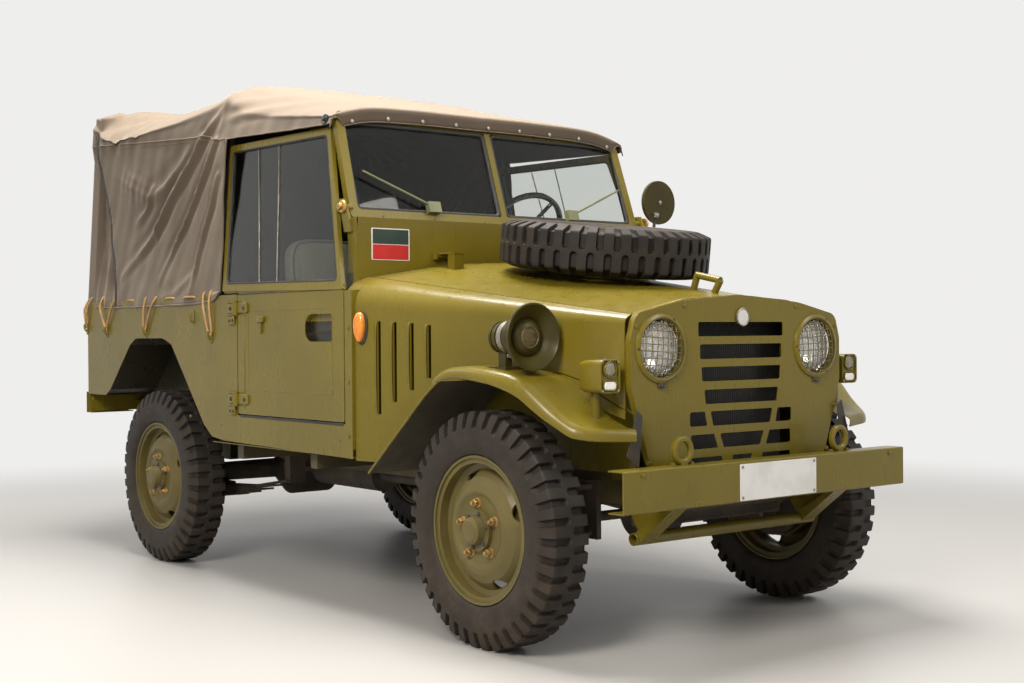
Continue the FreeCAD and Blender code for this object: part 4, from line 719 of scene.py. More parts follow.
def makeTyres(s):
    turn, y, r, side, cut = tyreShape(s)
    nu, nv = y.shape
    faces = gridFaces(nu, nv, True, False).tolist()
    for node, body in s["places"]:
        # the plain tyre's own middle and axis, from its vertices
        cad = nodes[node].data
        co = np.empty(len(cad.vertices) * 3, np.float32)
        cad.vertices.foreach_get("co", co)
        co = np.unique(co.reshape(-1, 3).round(5), axis=0).astype(float)
        mid = co.mean(0)
        axis = np.linalg.svd(co - mid, full_matrices=False)[2][2]
        along = (co - mid) @ axis
        mid = mid + axis * (along.max() + along.min()) / 2
        a, b, c = basis(axis, (1, 0, 0))
        ring = np.cos(turn)[:, None, None] * b + np.sin(turn)[:, None, None] * c
        v = mid + y[..., None] * a + r[..., None] * ring
        mesh = bpy.data.meshes.new("lugged_" + node)
        mesh.from_pydata(v.reshape(-1, 3).tolist(), [], faces)
        for label, value in (("wall", side), ("groove", cut)):
            layer = mesh.attributes.new(label, "FLOAT", "POINT")
            layer.data.foreach_set("value", value.astype(np.float32).ravel())
        mesh.shade_smooth()
        p = mesh.polygons[nv // 2]
        if np.array(p.normal) @ (np.array(p.center) - mid) < 0:
            mesh.flip_normals()
        mesh.set_sharp_from_angle(angle=radians(42))
        obj = addObject("lugged_" + node, mesh, "tyreRubber", body)
        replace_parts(obj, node)


makeTyres(tyreSet)
print("tyres")

canopySet = {"rear": -1.664, "head": 0.362, "bow": -0.44, "seam": 1.697, "thick": 0.0022, "stations": 118,
             "frontStations": 44, "backRings": 34, "sideRows": 66, "hem": 1.062, "sideY": 0.744,
             "backPoint": (0.0, 1.104),
             "roof": ((-1.664, 1.966), (-1.60, 1.970), (-1.50, 1.945), (-1.36, 1.914), (-1.2, 1.903), (-1.0, 1.900),
                      (-0.78, 1.905), (-0.56, 1.915), (-0.46, 1.924), (-0.38, 1.916), (-0.28, 1.888), (-0.1, 1.846),
                      (0.1, 1.802), (0.25, 1.768), (0.362, 1.743)),
             "foldY": ((-1.664, 0.694), (-1.55, 0.700), (-1.38, 0.706), (-1.0, 0.698), (-0.6, 0.668),
                       (-0.44, 0.652), (-0.30, 0.662), (0.0, 0.668), (0.362, 0.673)),
             "foldZ": ((-1.664, 1.890), (-1.60, 1.868), (-1.52, 1.826), (-1.39, 1.802), (-1.19, 1.802),
                       (-0.906, 1.813), (-0.68, 1.830), (-0.53, 1.850), (-0.45, 1.866), (-0.38, 1.840),
                       (-0.25, 1.790), (0.0, 1.748), (0.31, 1.705), (0.362, 1.700)),
             "folds": (dict(path=((-0.43, 1.86), (-0.60, 1.706), (-0.72, 1.615), (-0.87, 1.50), (-1.01, 1.364),
                                  (-1.29, 1.205)),
                            high=0.021, width=0.017),
                       dict(path=((-0.47, 1.70), (-0.56, 1.57), (-0.65, 1.475), (-0.80, 1.31), (-0.92, 1.165)),
                            high=0.016, width=0.013),
                       dict(path=((-0.44, 1.56), (-0.485, 1.44), (-0.55, 1.325), (-0.60, 1.20), (-0.625, 1.10)),
                            high=0.013, width=0.012),
                       dict(path=((-0.62, 1.74), (-0.84, 1.60), (-1.02, 1.53), (-1.16, 1.535)), high=0.010,
                            width=0.022),
                       dict(path=((-1.03, 1.56), (-1.09, 1.47), (-1.20, 1.42)), high=0.010, width=0.016),
                       dict(path=((-0.90, 1.50), (-0.96, 1.42), (-1.0, 1.30)), high=0.006, width=0.010),
                       dict(path=((-0.60, 1.20), (-0.75, 1.12), (-0.95, 1.09)), high=0.003, width=0.015)),
             "eave": ((-1.664, 1.800), (-1.587, 1.794), (-0.97, 1.751), (-0.55, 1.724), (-0.44, 1.700),
                      (0.362, 1.666)),
             "corner": ((-1.625, 1.86), (-1.600, 1.79), (-1.545, 1.64), (-1.475, 1.505), (-1.435, 1.36),
                        (-1.39, 1.262), (-1.355, 1.168), (-1.32, 1.06)),
             "patch": ((-1.20, 0.15), (1.575, 0.065), 0.013), "legs": (0.716, 0.0572, 0.0162),
             "tie": (1.957, 0.0336), "bends": ((-1.63, 0.578, 1.851), (-0.44, 0.531, 1.797)), "bendRadius": 0.1085}


def curve(points, x):
    # a smooth line through the points, read at x
    p = smoothPath(points, 12)
    return np.interp(x, p[:, 0], p[:, 1])


def nearLine(path, x, z):
    # distance to a line drawn in the side plane, how far along it, and on which side
    p = smoothPath(path, 14)
    step = np.hypot(*np.diff(p, axis=0).T)
    along = np.concatenate([[0], np.cumsum(step)]) / step.sum()
    dx, dz = x[..., None] - p[:, 0], z[..., None] - p[:, 1]
    d2 = dx ** 2 + dz ** 2
    k = d2.argmin(-1)
    g = np.gradient(p, axis=0)
    ax, az = (np.take_along_axis(q, k[..., None], -1)[..., 0] for q in (dx, dz))
    side = ax * g[k, 1] - az * g[k, 0]
    return np.sqrt(d2.min(-1)), along[k], np.sign(side)


def halfSection(s, x, rows):
    # one side of the cloth at the stations x, from the crown down to the eave seam and then to the hem
    zr, zf, yf = curve(s["roof"], x), curve(s["foldZ"], x), curve(s["foldY"], x)
    crown = zr + 0.006 + 0.006 * (bulge(x, s["bow"], 0.12) + bulge(x, s["rear"], 0.15))
    crown = np.where(x < s["bow"], np.maximum(crown, s["tie"][0] - s["tie"][1] * (x - s["rear"])), crown)
    o = np.zeros_like(x)
    eaveY = 0.697 + 0.012 * ease((x - s["bow"]) / -0.9) - 0.010 * ease((x - s["bow"]) / 0.5)
    eaveZ = curve(s["eave"], x)
    keys = [(o, crown), (o + 0.26, (crown + zr) / 2 + 0.003), (o + 0.49, zr),
            (0.49 + (yf - 0.49) * 0.62, zf + (zr - zf) * 0.56), (yf, zf),
            (yf * 0.55 + eaveY * 0.45, zf * 0.62 + eaveZ * 0.38), (eaveY, eaveZ)]
    keys = np.array([np.stack([a, b], -1) for a, b in keys])
    flat = keys.reshape(len(keys), -1)
    top = smoothPath(flat, 9).reshape(-1, len(x), 2)
    if rows == 0:
        return top
    t = (np.arange(rows) + 1) / rows
    y = eaveY + (s["sideY"] - eaveY) * t[:, None] ** 0.9
    z = eaveZ + (s["hem"] - eaveZ) * t[:, None]
    return np.concatenate([top, np.stack([y, z], -1)])


def sideShape(s, x, z):
    # taut folds from the bow's top corner, a hollow between, and the slack rear corner; all as moves outward
    hollow = -0.020 * np.sin(pi * np.clip((z - s["hem"]) / 0.74, 0, 1)) * ease((s["bow"] + 0.02 - x) / 0.3)
    move = hollow
    for f in s["folds"]:
        d, along, side = nearLine(f["path"], x, z)
        taper = ease(along * 5) * 0.35 + 0.65
        taper = taper * (1 - ease((along - 0.55) / 0.45) * 0.85)
        sharp = np.where(side > 0, 0.55, 1.3)
        move = move + f["high"] * taper * np.exp(-(d / (f["width"] * sharp)) ** 2)
        move = move - 0.45 * f["high"] * taper * np.exp(-((d - f["width"] * 2.1) / (f["width"] * 1.2)) ** 2)
    d, along, side = nearLine(s["corner"], x, z)
    behind = (x < np.interp(z, [p[1] for p in s["corner"]][::-1], [p[0] for p in s["corner"]][::-1]))
    wrap = ease(d / 0.012) * behind * ease((1.86 - z) / 0.1)
    pinch = np.sin(pi * np.clip((z - 1.10) / 0.72, 0, 1))
    move = move - wrap * (0.007 + 0.016 * pinch)
    move = move + wrap * 0.007 * np.sin(x * 62 + z * 9) * ease((1.45 - z) / 0.25)
    (px, wx), (pz, wz), high = s["patch"]
    crumple = np.exp(-((x - px) / wx) ** 2 - ((z - pz + 0.25 * (x - px)) / wz) ** 2)
    move = move + crumple * (high + 0.0035 * np.sin(x * 74 + z * 46) * np.sin(z * 88 - x * 27))
    ripple = 0.0016 * np.sin(x * 21 + z * 13) * np.sin(z * 31 - x * 7) + 0.0009 * np.sin(x * 57 - z * 23)
    hem = 0.004 * np.sin(x * 17.0 + 0.6) * ease((1.20 - z) / 0.13)
    return (move + ripple) * ease((s["seam"] + 0.17 - z) / 0.17) + hem


def roofShape(s, x, y, z):
    # slack between the bows: a fold along the eave, cross wrinkles by the rear corner, pull lines by the windscreen
    a = np.abs(y)
    rear = ease((-0.95 - x) / 0.5) * ease((a - 0.42) / 0.12)
    lines = 0.006 * np.sin(x * 26 + a * 40) * rear + 0.004 * np.sin(x * 61 - a * 33) * rear
    pull = 0.0045 * ease((x - s["bow"]) / 0.12) * ease((a - 0.52) / 0.06) * np.sin((z - 1.70 - 0.03 * x) * 95)
    span = np.clip((x - s["bow"]) / (s["rear"] - s["bow"]), 0, 1)
    sag = -0.004 * ease((a - 0.12) / 0.2) * np.sin(pi * span) * (1 - ease((a - 0.3) / 0.3))
    ripple = 0.0012 * np.sin(x * 19 + y * 11) * np.sin(y * 17 - x * 5)
    tent = 0.004 * bulge(x, s["bow"], 0.016) + 0.004 * bulge(x, s["rear"] + 0.034, 0.016)
    return lines + pull + sag + ripple + tent


def makeCanopy(s):
    # one grid from the rear corner to the bow over full sections, one on to the windscreen over the roof only,
    # and a curtain that closes the rear by drawing the last section in towards a point on its hem
    x = s["rear"] + (s["bow"] + 0.06 - s["rear"]) * np.linspace(0, 1, s["stations"])
    xf = np.linspace(s["bow"] + 0.06, s["head"], s["frontStations"])
    full = halfSection(s, x, s["sideRows"])
    front = halfSection(s, xf, 0)

    def stand(half, xs):
        # both sides of the section as (station, row, xyz), with the folds laid on
        right = np.concatenate([half[::-1] * (-1, 1), half[1:]])
        yz = np.moveaxis(right, 1, 0)
        xx = np.repeat(xs[:, None], yz.shape[1], 1)
        y, z = yz[..., 0], yz[..., 1]
        g = np.gradient(yz, axis=1)
        n = np.stack([-g[..., 1], g[..., 0]], -1)
        n /= np.linalg.norm(n, axis=-1)[..., None]
        n = n * np.where((n[..., :1] * y[..., None] + n[..., 1:] * (z[..., None] - 1.2)) < 0, -1, 1)
        lean = ease((s["seam"] + 0.02 - z) / 0.6) * ease((xx - (s["bow"] - 0.25)) / 0.31) * 0.030
        corner = 0.03 * ease((xx - (s["bow"] + 0.01)) / 0.05) * ease((1.10 - z) / 0.04)
        flip = np.where(y < 0, xx, xx + 0.03 * np.sin(xx * 3))
        move = sideShape(s, flip, z) + roofShape(s, xx, y, z) * ease((z - s["seam"] - 0.02) / 0.08)
        y2, z2 = y + n[..., 0] * move, z + n[..., 1] * move
        z2 = z2 + (0.010 * bulge(xx, -1.66, 0.2) + 0.014 * ease((xx + 0.62) / 0.24)) * (z < 1.10) + corner
        # the cloth stays outside the rear hoop's legs
        foot, slope, clear = s["legs"]
        leg = (foot - slope * (z2 - 1.10) + clear) * ease((-1.545 - xx) / 0.04) * (z2 < 1.93)
        y2 = np.sign(y2) * np.maximum(np.abs(y2), leg)
        for hx, hy, hz in s["bends"]:
            dy, dz = np.abs(y2) - hy, z2 - hz
            reach = np.hypot(dy, dz) + 1e-9
            near = ease((0.075 - np.abs(xx - hx)) / 0.045) * (dy > 0) * (dz > 0)
            push = np.maximum(s["bendRadius"] / reach - 1, 0) * near
            y2, z2 = y2 + np.sign(y2) * dy * push, z2 + dz * push
        return np.stack([xx + lean, np.clip(y2, -0.765, 0.765), z2], -1)

    body, roof = stand(full, x), stand(front, xf)
    nFull = body.shape[1]
    skip = (nFull - roof.shape[1]) // 2
    roof[0] = body[-1, skip:nFull - skip]
    # valance over the windscreen header
    lipZ = np.array((0.0, 0.008, 0.022, 0.042, 0.054))
    lipX = np.array((0.0, 0.0045, 0.0055, 0.0055, 0.0050))
    lip = np.repeat(roof[-1][None], 4, 0)
    flat = ease((0.66 - np.abs(lip[0, :, 1])) / 0.03)
    lip[..., 0] += lipX[1:, None]
    lip[..., 2] -= lipZ[1:, None] * (0.25 + 0.75 * flat)
    rings = [body[0]]
    py, pz = s["backPoint"]
    base = body[0]
    for k in range(1, s["backRings"] + 1):
        t = (k / s["backRings"]) ** 0.8
        ring = base.copy()
        ring[:, 1] = base[:, 1] * (1 - t) + py * t
        ring[:, 2] = base[:, 2] * (1 - t) + pz * t
        pull = np.sin(pi * min(1, t * 1.15)) * 0.006
        wave = 0.006 * np.sin(ring[:, 1] * 24 + 0.8) * ease((1.7 - ring[:, 2]) / 0.5) * ease(t / 0.12)
        creases = 0.004 * np.sin(ring[:, 1] * 61 + ring[:, 2] * 8) * ease((1.35 - ring[:, 2]) / 0.2) * ease(t / 0.12)
        ring[:, 0] = s["rear"] - 0.002 - 0.004 * ease(t / 0.06) + pull + wave + creases
        rings.append(ring)
    back = np.stack(rings)
    parts = [(body.reshape(-1, 3), gridFaces(*body.shape[:2])), (roof.reshape(-1, 3), gridFaces(*roof.shape[:2])),
             (np.concatenate([roof[-1:], lip]).reshape(-1, 3), gridFaces(5, roof.shape[1])),
             (back.reshape(-1, 3), gridFaces(*back.shape[:2]))]
    return parts, body, roof, lip, back


def clothUv(parts):
    # cloth coordinates in metres: along the car and down the section from the crown, or across and up on the back
    out = []
    for v, _ in parts[:-1]:
        y, z = v[:, 1], v[:, 2]
        down = np.minimum(np.abs(y), 0.66) + np.maximum(1.86 - z, 0)
        out.append(np.stack([v[:, 0], np.sign(y) * down], 1))
    return np.concatenate(out + [parts[-1][0][:, 1:]])


def finishCanopy(obj, s):
    # join the grids' shared rows, then give the cloth its thickness
    work = bmesh.new()
    work.from_mesh(obj.data)
    bmesh.ops.remove_doubles(work, verts=work.verts, dist=2e-5)
    bmesh.ops.recalc_face_normals(work, faces=work.faces)
    work.faces.ensure_lookup_table()
    top = max(work.faces, key=lambda f: f.calc_center_median().z)
    if top.normal.z < 0:
        bmesh.ops.reverse_faces(work, faces=work.faces)
    work.to_mesh(obj.data)
    work.free()
    skin = obj.modifiers.new("cloth", "SOLIDIFY")
    skin.thickness, skin.offset = s["thick"], -1


canopyParts, canopyBody, canopyRoof, canopyLip, canopyBack = makeCanopy(canopySet)
canopy = putPiece("canvasTop", canopyParts, "canopyCanvas", sharp=0, uv=clothUv(canopyParts),
                  weld=False)
finishCanopy(canopy, canopySet)
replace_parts(canopy, "canopy")
print("canopy")

tieSet = {"ropeRadius": 0.0048, "stitchZ": 1.088, "face": 0.740,
          "loops": (((-0.492, 1.098), (-0.448, 0.945), (-0.418, 0.945), (-0.434, 1.102)),
                    ((-1.022, 1.092), (-1.036, 0.966), (-1.014, 0.962), (-0.935, 1.092)),
                    ((-1.505, 1.106), (-1.440, 0.970), (-1.420, 0.970), (-1.345, 1.094)),
                    ((-1.618, 1.106), (-1.648, 0.985), (-1.656, 0.988), (-1.662, 1.09))),
          "stitches": ((-1.228, -1.148), (-0.840, -0.755), (-0.665, -0.570)), "spareHook": (-0.585, 1.012)}


def hemSurface(x):
    # where the cloth lies by the hem, a little above its edge
    col = canopyBody[:, 4]
    return np.interp(x, col[:, 0], -col[:, 1])


def hook(x, y, z, across, high, corner, reach, wire):
    # a small plate with a bent rod: reach is the rod's path as (out, up)
    base = plate(roundRect(across, high, corner), 0.003, (x, -y, z), (0, -1, 0))
    return [base, rod(smoothPath([(x, -y - out, z + up) for out, up in reach], 5), wire, 8, up=(1, 0, 0))]


def makeTies(s):
    # rope loops from the hem down to the hooks, the stitches between them, and the hooks themselves
    cords, hooks, uvs = [], [], []
    face = s["face"]
    for a, b, c, d in s["loops"]:
        top = [(x, -(hemSurface(x) + 0.004), z) for x, z in (a, d)]
        tucked = [(x, -(hemSurface(x) - 0.006), z + 0.010) for x, z in (a, d)]
        third = [((p[0] * 2 + q[0]) / 3, -0.7515, (p[1] * 2 + q[1]) / 3) for p, q in ((a, b), (d, c))]
        foot = [(p[0], -face - 0.0075, p[1] + 0.012) for p in (b, c)]
        mid = (b[0] + c[0]) / 2
        pts = [tucked[0], top[0], third[0], foot[0], (mid, -face - 0.0065, b[1] - 0.004), foot[1], third[1], top[1],
               tucked[1]]
        cords.append(smoothPath(pts, 6))
        x, z = mid, b[1] - 0.012
        hooks += hook(x, face, z, 0.020, 0.052, 0.006, ((0.001, -0.010), (0.0105, -0.006), (0.0160, 0.008),
                                                        (0.0145, 0.022)), 0.0042)
        hooks += [rivet((x, -face - 0.003, z + up), (0, -1, 0), 0.004, 0.002) for up in (-0.020, 0.020)]
    for x0, x1 in s["stitches"]:
        xs = np.array((x0, x0 + 0.010, (x0 + x1) / 2, x1 - 0.010, x1))
        y = -(hemSurface(xs) + np.array((-0.006, 0.0035, 0.006, 0.0035, -0.006)))
        z = s["stitchZ"] + 0.004 * np.array((-1, 0.4, 1, 0.8, 0))
        cords.append(smoothPath(np.stack([xs, y, z], 1), 6))
    x, z = s["spareHook"]
    hooks += hook(x, face, z, 0.018, 0.056, 0.005, ((0.001, -0.02), (0.011, -0.016), (0.015, -0.002),
                                                    (0.012, 0.014)), 0.004)
    parts = []
    for path in cords:
        for side in (1, -1):
            p = path * (1, side, 1)
            parts.append(rod(p, s["ropeRadius"], 10, up=(1, 0.01, 0)))
            length = np.concatenate([[0], np.cumsum(np.linalg.norm(np.diff(p, axis=0), axis=1))])
            length = np.concatenate([length[:1], length, length[-1:]])
            uvs.append(np.stack([np.repeat(length, 10), np.tile(np.arange(10) / 10, len(length))], 1))
    ties = putPiece("ropeTies", parts, "tanRope", sharp=0, uv=np.concatenate(uvs), weld=False)
    putPiece("tieHooks", mirrored(hooks))
    return ties


ropeTies = makeTies(tieSet)


def makeCanopyTrim(s):
    # rolled hem, eave seam, rear corner welt, header studs and the big turn-button at each header corner
    body, row = canopyBody, s["sideRows"]
    hem, seam, welt, button = [], [], [], []
    for col in (0, -1):
        edge = body[:, col].copy()
        edge[:, 1] -= np.sign(edge[:, 1]) * 0.001
        hem.append(rod(edge[::2], 0.0042, 8))
    hem += [rod(edge[::2], 0.0030, 8, up=(1, 0, 0)) for edge in (body[-1, :row + 1], body[-1, -row - 1:])]
    low = np.concatenate([canopyBack[:, 0], canopyBack[::-1, -1]])
    hem.append(rod(low[::2] + (-0.001, 0, 0), 0.0036, 8))
    hem += [rod(canopyRoof[::2, col], 0.0026, 8) for col in (0, -1)]
    hem.append(rod(canopyLip[-1][::2], 0.0024, 8))
    for k, side in ((row, -1), (-row - 1, 1)):
        seam += [sweep(body[:, k] + (0, side * 0.0012, 0), roundProfile(0.0016, 6) * (1, 2.4)),
                 sweep(body[:, k] + (0, side * 0.0008, -0.016), roundProfile(0.0010, 6))]
    line = np.array(s["corner"])[::-1]
    z = np.linspace(1.070, 1.850, 90)
    x = np.interp(z, line[:, 1], line[:, 0])
    for side, cols in ((-1, body[:, :row]), (1, body[:, -1:-row - 1:-1])):
        i = np.abs(cols[:, 0, 0, None] - x).argmin(0)
        y = cols[i, np.abs(cols[i, :, 2] - z[:, None]).argmin(1), 1]
        y = np.convolve(np.pad(y, 2, "edge"), np.ones(5) / 5, "valid")
        welt.append(sweep(np.stack([x, y + side * 0.003, z], 1), roundProfile(0.0048, 8), (0, 1, 0)))
    lip = canopyLip[2]
    studs = [lathe([(0, 0), (0, 0.0075), (0.0025, 0.0075), (0.004, 0.004), (0.0042, 0)],
                   (lip[0, 0] + 0.001, y, lip[np.abs(lip[:, 1] - y).argmin(), 2]), (1, 0, 0.05),
                   18) for y in np.linspace(-0.60, 0.60, 9)]
    for side, col in ((-1, canopyRoof[:, 4]), (1, canopyRoof[:, -5])):
        at = col[np.abs(col[:, 0] - 0.325).argmin()] + (0, side * 0.0015, 0.010)
        button += [lathe([(-0.003, 0), (-0.003, 0.019), (0.002, 0.019), (0.003, 0.016), (0.001, 0.012), (0.001, 0)],
                         at, (0, side, 0.25), 28),
                   lathe([(0, 0), (0, 0.009), (0.008, 0.008), (0.010, 0.004), (0.010, 0)], at, (0, side, 0.25), 18)]
    return [putPiece(name, parts, mat, sharp=sharp) for name, parts, mat, sharp in
            (("canopyHem", hem, "canopyCanvas", 0), ("canopySeams", seam, "canopyCanvas", 0),
             ("canopyWelt", welt, "blackRubber", 0),
             ("canopyStuds", studs, "dullSteel", 34), ("canopyButtons", button, "blackPlastic", 34))]


canopyTrim = makeCanopyTrim(canopySet)
print("canopy trim and ties")

lampSet = {"at": (1.613, 0.3455, 0.891),
           "bezel": ((-0.002, 0.084), (-0.002, 0.1015), (0.006, 0.1030), (0.014, 0.1030), (0.019, 0.1010),
                     (0.022, 0.0960), (0.0235, 0.0915), (0.0225, 0.0885), (0.016, 0.0870), (0.006, 0.0862),
                     (-0.002, 0.0850)),
           "bowl": ((-0.060, 0.0), (-0.060, 0.048), (-0.046, 0.070), (-0.022, 0.088), (-0.001, 0.0905),
                    (-0.001, 0.0865), (-0.022, 0.084), (-0.044, 0.067), (-0.057, 0.046), (-0.057, 0.0)),
           "reflector": ((-0.050, 0.0), (-0.050, 0.012), (-0.046, 0.034), (-0.036, 0.056), (-0.020, 0.073),
                         (-0.003, 0.0835), (-0.004, 0.0845), (-0.022, 0.075), (-0.052, 0.036), (-0.054, 0.0)),
           "bulb": ((-0.05, 0), (-0.05, 0.010), (-0.022, 0.010), (-0.017, 0.006), (-0.016, 0)),
           "seat": ((-0.010, 0.0735), (0.004, 0.0745), (0.0065, 0.0765), (0.004, 0.0785), (-0.010, 0.0795)),
           "wires": 8, "wireRadius": 0.0014, "dome": 0.022, "guardRadius": 0.0845, "lensRadius": 0.0745}
ahead = (1, 0, 0)


def makeHeadlamps(s):
    shell, glass, inner, mesh, clamp = [], [], [], [], []
    x0, y0, z0 = s["at"]
    guard = s["guardRadius"]
    t = np.linspace(0, 1, 10)
    lens = [(low + 0.0125 * (1 - k * k) ** 0.5, s["lensRadius"] * k) for low,
            row in ((0.0045, t), (0.0015, t[::-1])) for k in row]
    for side in (-1, 1):
        at = (x0, side * y0, z0)
        shell += [lathe(s["bezel"], at, ahead, 96), lathe(s["bowl"], at, ahead, 64)]
        inner += [lathe(s["reflector"], at, ahead, 64), lathe(s["bulb"], at, ahead, 24),
                  lathe(s["seat"], at, ahead, 64)]
        glass.append(lathe(lens, at, ahead, 72))
        turn = 0.06 * side
        for c in np.linspace(-0.84, 0.84, s["wires"]) * guard:
            # each wire follows a domed guard: a sphere cap over the lens, with a slight waver
            w = np.sqrt(max((guard * 1.015) ** 2 - c * c, 0)) * np.linspace(-1, 1, 22)
            cap = np.sqrt(np.clip(1 - (c * c + w * w) / (guard * 1.02) ** 2, 0, 1))
            high = 0.0125 + s["dome"] * cap + 0.0007 * np.cos(w * 260 + c * 90)
            for y, z, lift in ((np.full_like(w, c), w, 0.0), (w, np.full_like(w, c), 0.0016)):
                p = np.stack([x0 + high + lift, side * y0 + y * cos(turn) - z * sin(turn),
                              z0 + z * cos(turn) + y * sin(turn)], 1)
                mesh.append(rod(p, s["wireRadius"], 6, up=ahead))
        mesh.append(hoop((x0 + 0.0155, side * y0, z0), 0.087, 0.0024, 60))
        low = np.array((x0 + 0.010, side * y0 - 0.006, z0 - 0.104))
        clamp += [blockPart(low + (-0.006, -0.009, -0.012), low + (0.010, 0.009, 0.004)),
                  rod(smoothPath([low + (0.004, 0.004, -0.004), low + (0.011, 0.012, -0.008),
                                  low + (0.010, 0.026, -0.004)], 5), 0.003, 8),
                  bolt(low + (0.010, 0, -0.004), ahead, 0.0045, 0.004)]
        clamp += [bolt((x0 + 0.0215, side * y0 + 0.0955 * sin(a), z0 + 0.0955 * cos(a)), ahead, 0.003, 0.0015, 10)
                  for a in (0.5, 2.6, 4.7)]
    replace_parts(putPiece("lampShells", shell), "headlamps")
    putPiece("lampReflectors", inner, "silveredGlass")
    putPiece("lampLenses", glass, "lampLens")
    putPiece("lampGuards", mesh, "wireMesh", sharp=0)
    putPiece("lampClamps", clamp, "castMetal")


makeHeadlamps(lampSet)

smallSet = {"markerX": (1.512, 1.612), "markerY": 0.535, "markerZ": (0.766, 0.862), "lensZ": 0.834, "slotZ": 0.787,
            "housing": ((0.004, 0.060, 0.080, 0.012), (0.022, 0.071, 0.091, 0.014), (0.060, 0.075, 0.095, 0.015),
                        (0.100, 0.076, 0.096, 0.016), (0.104, 0.0745, 0.0945, 0.016), (0.104, 0.069, 0.089, 0.014),
                        (0.098, 0.066, 0.086, 0.013)),
            "slotRim": ((-0.002, 0.047, 0.025, 0.0095), (0.004, 0.047, 0.025, 0.0095),
                        (0.0045, 0.0505, 0.0285, 0.011), (-0.002, 0.053, 0.031, 0.012)),
            "lensRim": ((-0.002, 0.0215), (0.0035, 0.0215), (0.0045, 0.0228), (0.0035, 0.0245), (-0.002, 0.0245)),
            "tailRim": ((0.002, 0), (0.002, 0.038), (0.014, 0.038), (0.016, 0.0355), (0.014, 0.034), (0.010, 0.033),
                        (0.010, 0)),
            "flasher": (0.580, 0.7275, 0.966), "lean": 14.3,
            "pad": ((0.0, 1.0), (0.004, 1.0), (0.006, 0.93), (0.006, 0.0)),
            "drop": ((0.004, 0.98), (0.010, 1.0), (0.016, 0.93), (0.0205, 0.76), (0.0225, 0.5), (0.0232, 0.25),
                     (0.0234, 0.0)),
            "tail": (-1.653, 0.640, 0.800)}


def rectRings(rings, at, n):
    # rectangles with round corners, (forward, width, height, corner), one ahead of another
    x, y, z = at
    flat = [(dx, roundRect(w, h, r, n)) for dx, w, h, r in rings]
    return np.concatenate([np.column_stack([np.full(len(p), x + dx), y + p[:, 0], z + p[:, 1]]) for dx, p in flat])


def makeSmallLamps(s):
    boxes, clear, white, orange, red, rubber, screws = [], [], [], [], [], [], []
    (x0, x1), (z0, z1) = s["markerX"], s["markerZ"]
    zc, n = (z0 + z1) / 2, len(s["housing"])
    t = np.linspace(0, pi / 2, 7)
    tip = [(0.0, 0.021)] + [(0.0085 * sin(a), 0.021 * cos(a) ** 0.7 if cos(a) > 1e-3 else 0) for a in t]
    dome = [(0.010, 0.0335)] + [(0.014 + 0.016 * sin(a), 0.0335 * cos(a)) for a in np.linspace(0, pi / 2, 8)]
    for side in (-1, 1):
        # rounded housing with a raised rim round its front, the lens face set in
        y0 = side * s["markerY"]
        caps = [list(range(24))[::-1], list(range(24 * (n - 1), 24 * n))]
        boxes.append((rectRings(s["housing"], (x0, y0, zc), 6), gridFaces(n, 24, False, True).tolist() + caps))
        yb = y0 - side * 0.038
        boxes += [blockPart((x0 + 0.010, yb - 0.004, zc + dz - 0.006), (x0 + 0.052, yb + 0.004, zc + dz + 0.006))
                  for dz in (0.030, -0.030)]
        clear.append(lathe(tip, (x1 + 0.0005, y0, s["lensZ"]), ahead, 40))
        boxes.append(lathe(s["lensRim"], (x1 + 0.001, y0, s["lensZ"]), ahead, 40))
        slot = roundRect(0.046, 0.024, 0.009, 5)
        white.append(plate(slot, 0.0065, (x1 - 0.001, y0, s["slotZ"]), ahead, edge=0.003))
        boxes.append((rectRings(s["slotRim"], (x1, y0, s["slotZ"]), 5), gridFaces(4, 20, True, True)))
        screws += [bolt((x1 + 0.0035, y0 + dy, zc + dz), ahead, 0.0026, 0.001, 12)
                   for dy, dz in ((-0.030, 0.041), (0.030, -0.041), (0.030, 0.041), (-0.030, -0.041))]
        boxes.append(blockPart((1.540, y0 - 0.010, 0.680), (1.560, y0 + 0.010, 0.768), 0.003))
        rubber.append(blockPart((1.548, y0 - side * 0.040 - 0.014, zc - 0.050),
                                (1.572, y0 - side * 0.036, zc + 0.050), 0.003))
        # side flasher: an orange drop on a dark pad, following the wing's taper
        fx, fy, fz = s["flasher"]
        lean = radians(s["lean"])
        out, along = np.array((sin(lean), side * cos(lean), 0)), np.array((cos(lean), -side * sin(lean), 0))
        a = np.linspace(0, 2 * pi, 40, endpoint=False)
        drop = np.stack([0.0235 * np.cos(a), 0.050 * np.sin(a) + 0.004 * np.cos(2 * a)], 1)
        pad = drop * (1.16, 1.10) + (0.004, -0.003)
        at = np.array((fx, side * fy, fz)) + along * 0.027
        for outline, levels, bucket in ((pad, s["pad"], rubber), (drop, s["drop"], orange)):
            v = np.concatenate([at + out * h + (outline * k)[:, :1] * along + (outline * k)[:,
                    1:] * np.array((0, 0, 1.0))
                                for h, k in levels])
            bucket.append((v, gridFaces(len(levels), 40, False, True)))
        tx, ty, tz = s["tail"]
        rubber.append(lathe(s["tailRim"], (tx, side * ty, tz), (-1, 0, 0), 48))
        red.append(lathe(dome, (tx, side * ty, tz), (-1, 0, 0), 48))
    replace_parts(putPiece("markerBoxes", boxes), "small_lamps")
    for name, parts, mat, sharp in (("markerLenses", clear, "lampLens", 34), ("markerSlots", white, "whiteLens", 34),
                                    ("flasherLenses", orange, "orangeLens", 0), ("tailLenses", red, "redLens", 34),
                                    ("lampPads", rubber, "blackRubber", 34), ("lampScrews", screws, "dullSteel", 34)):
        putPiece(name, parts, mat, sharp=sharp)


makeSmallLamps(smallSet)
print("lamps")

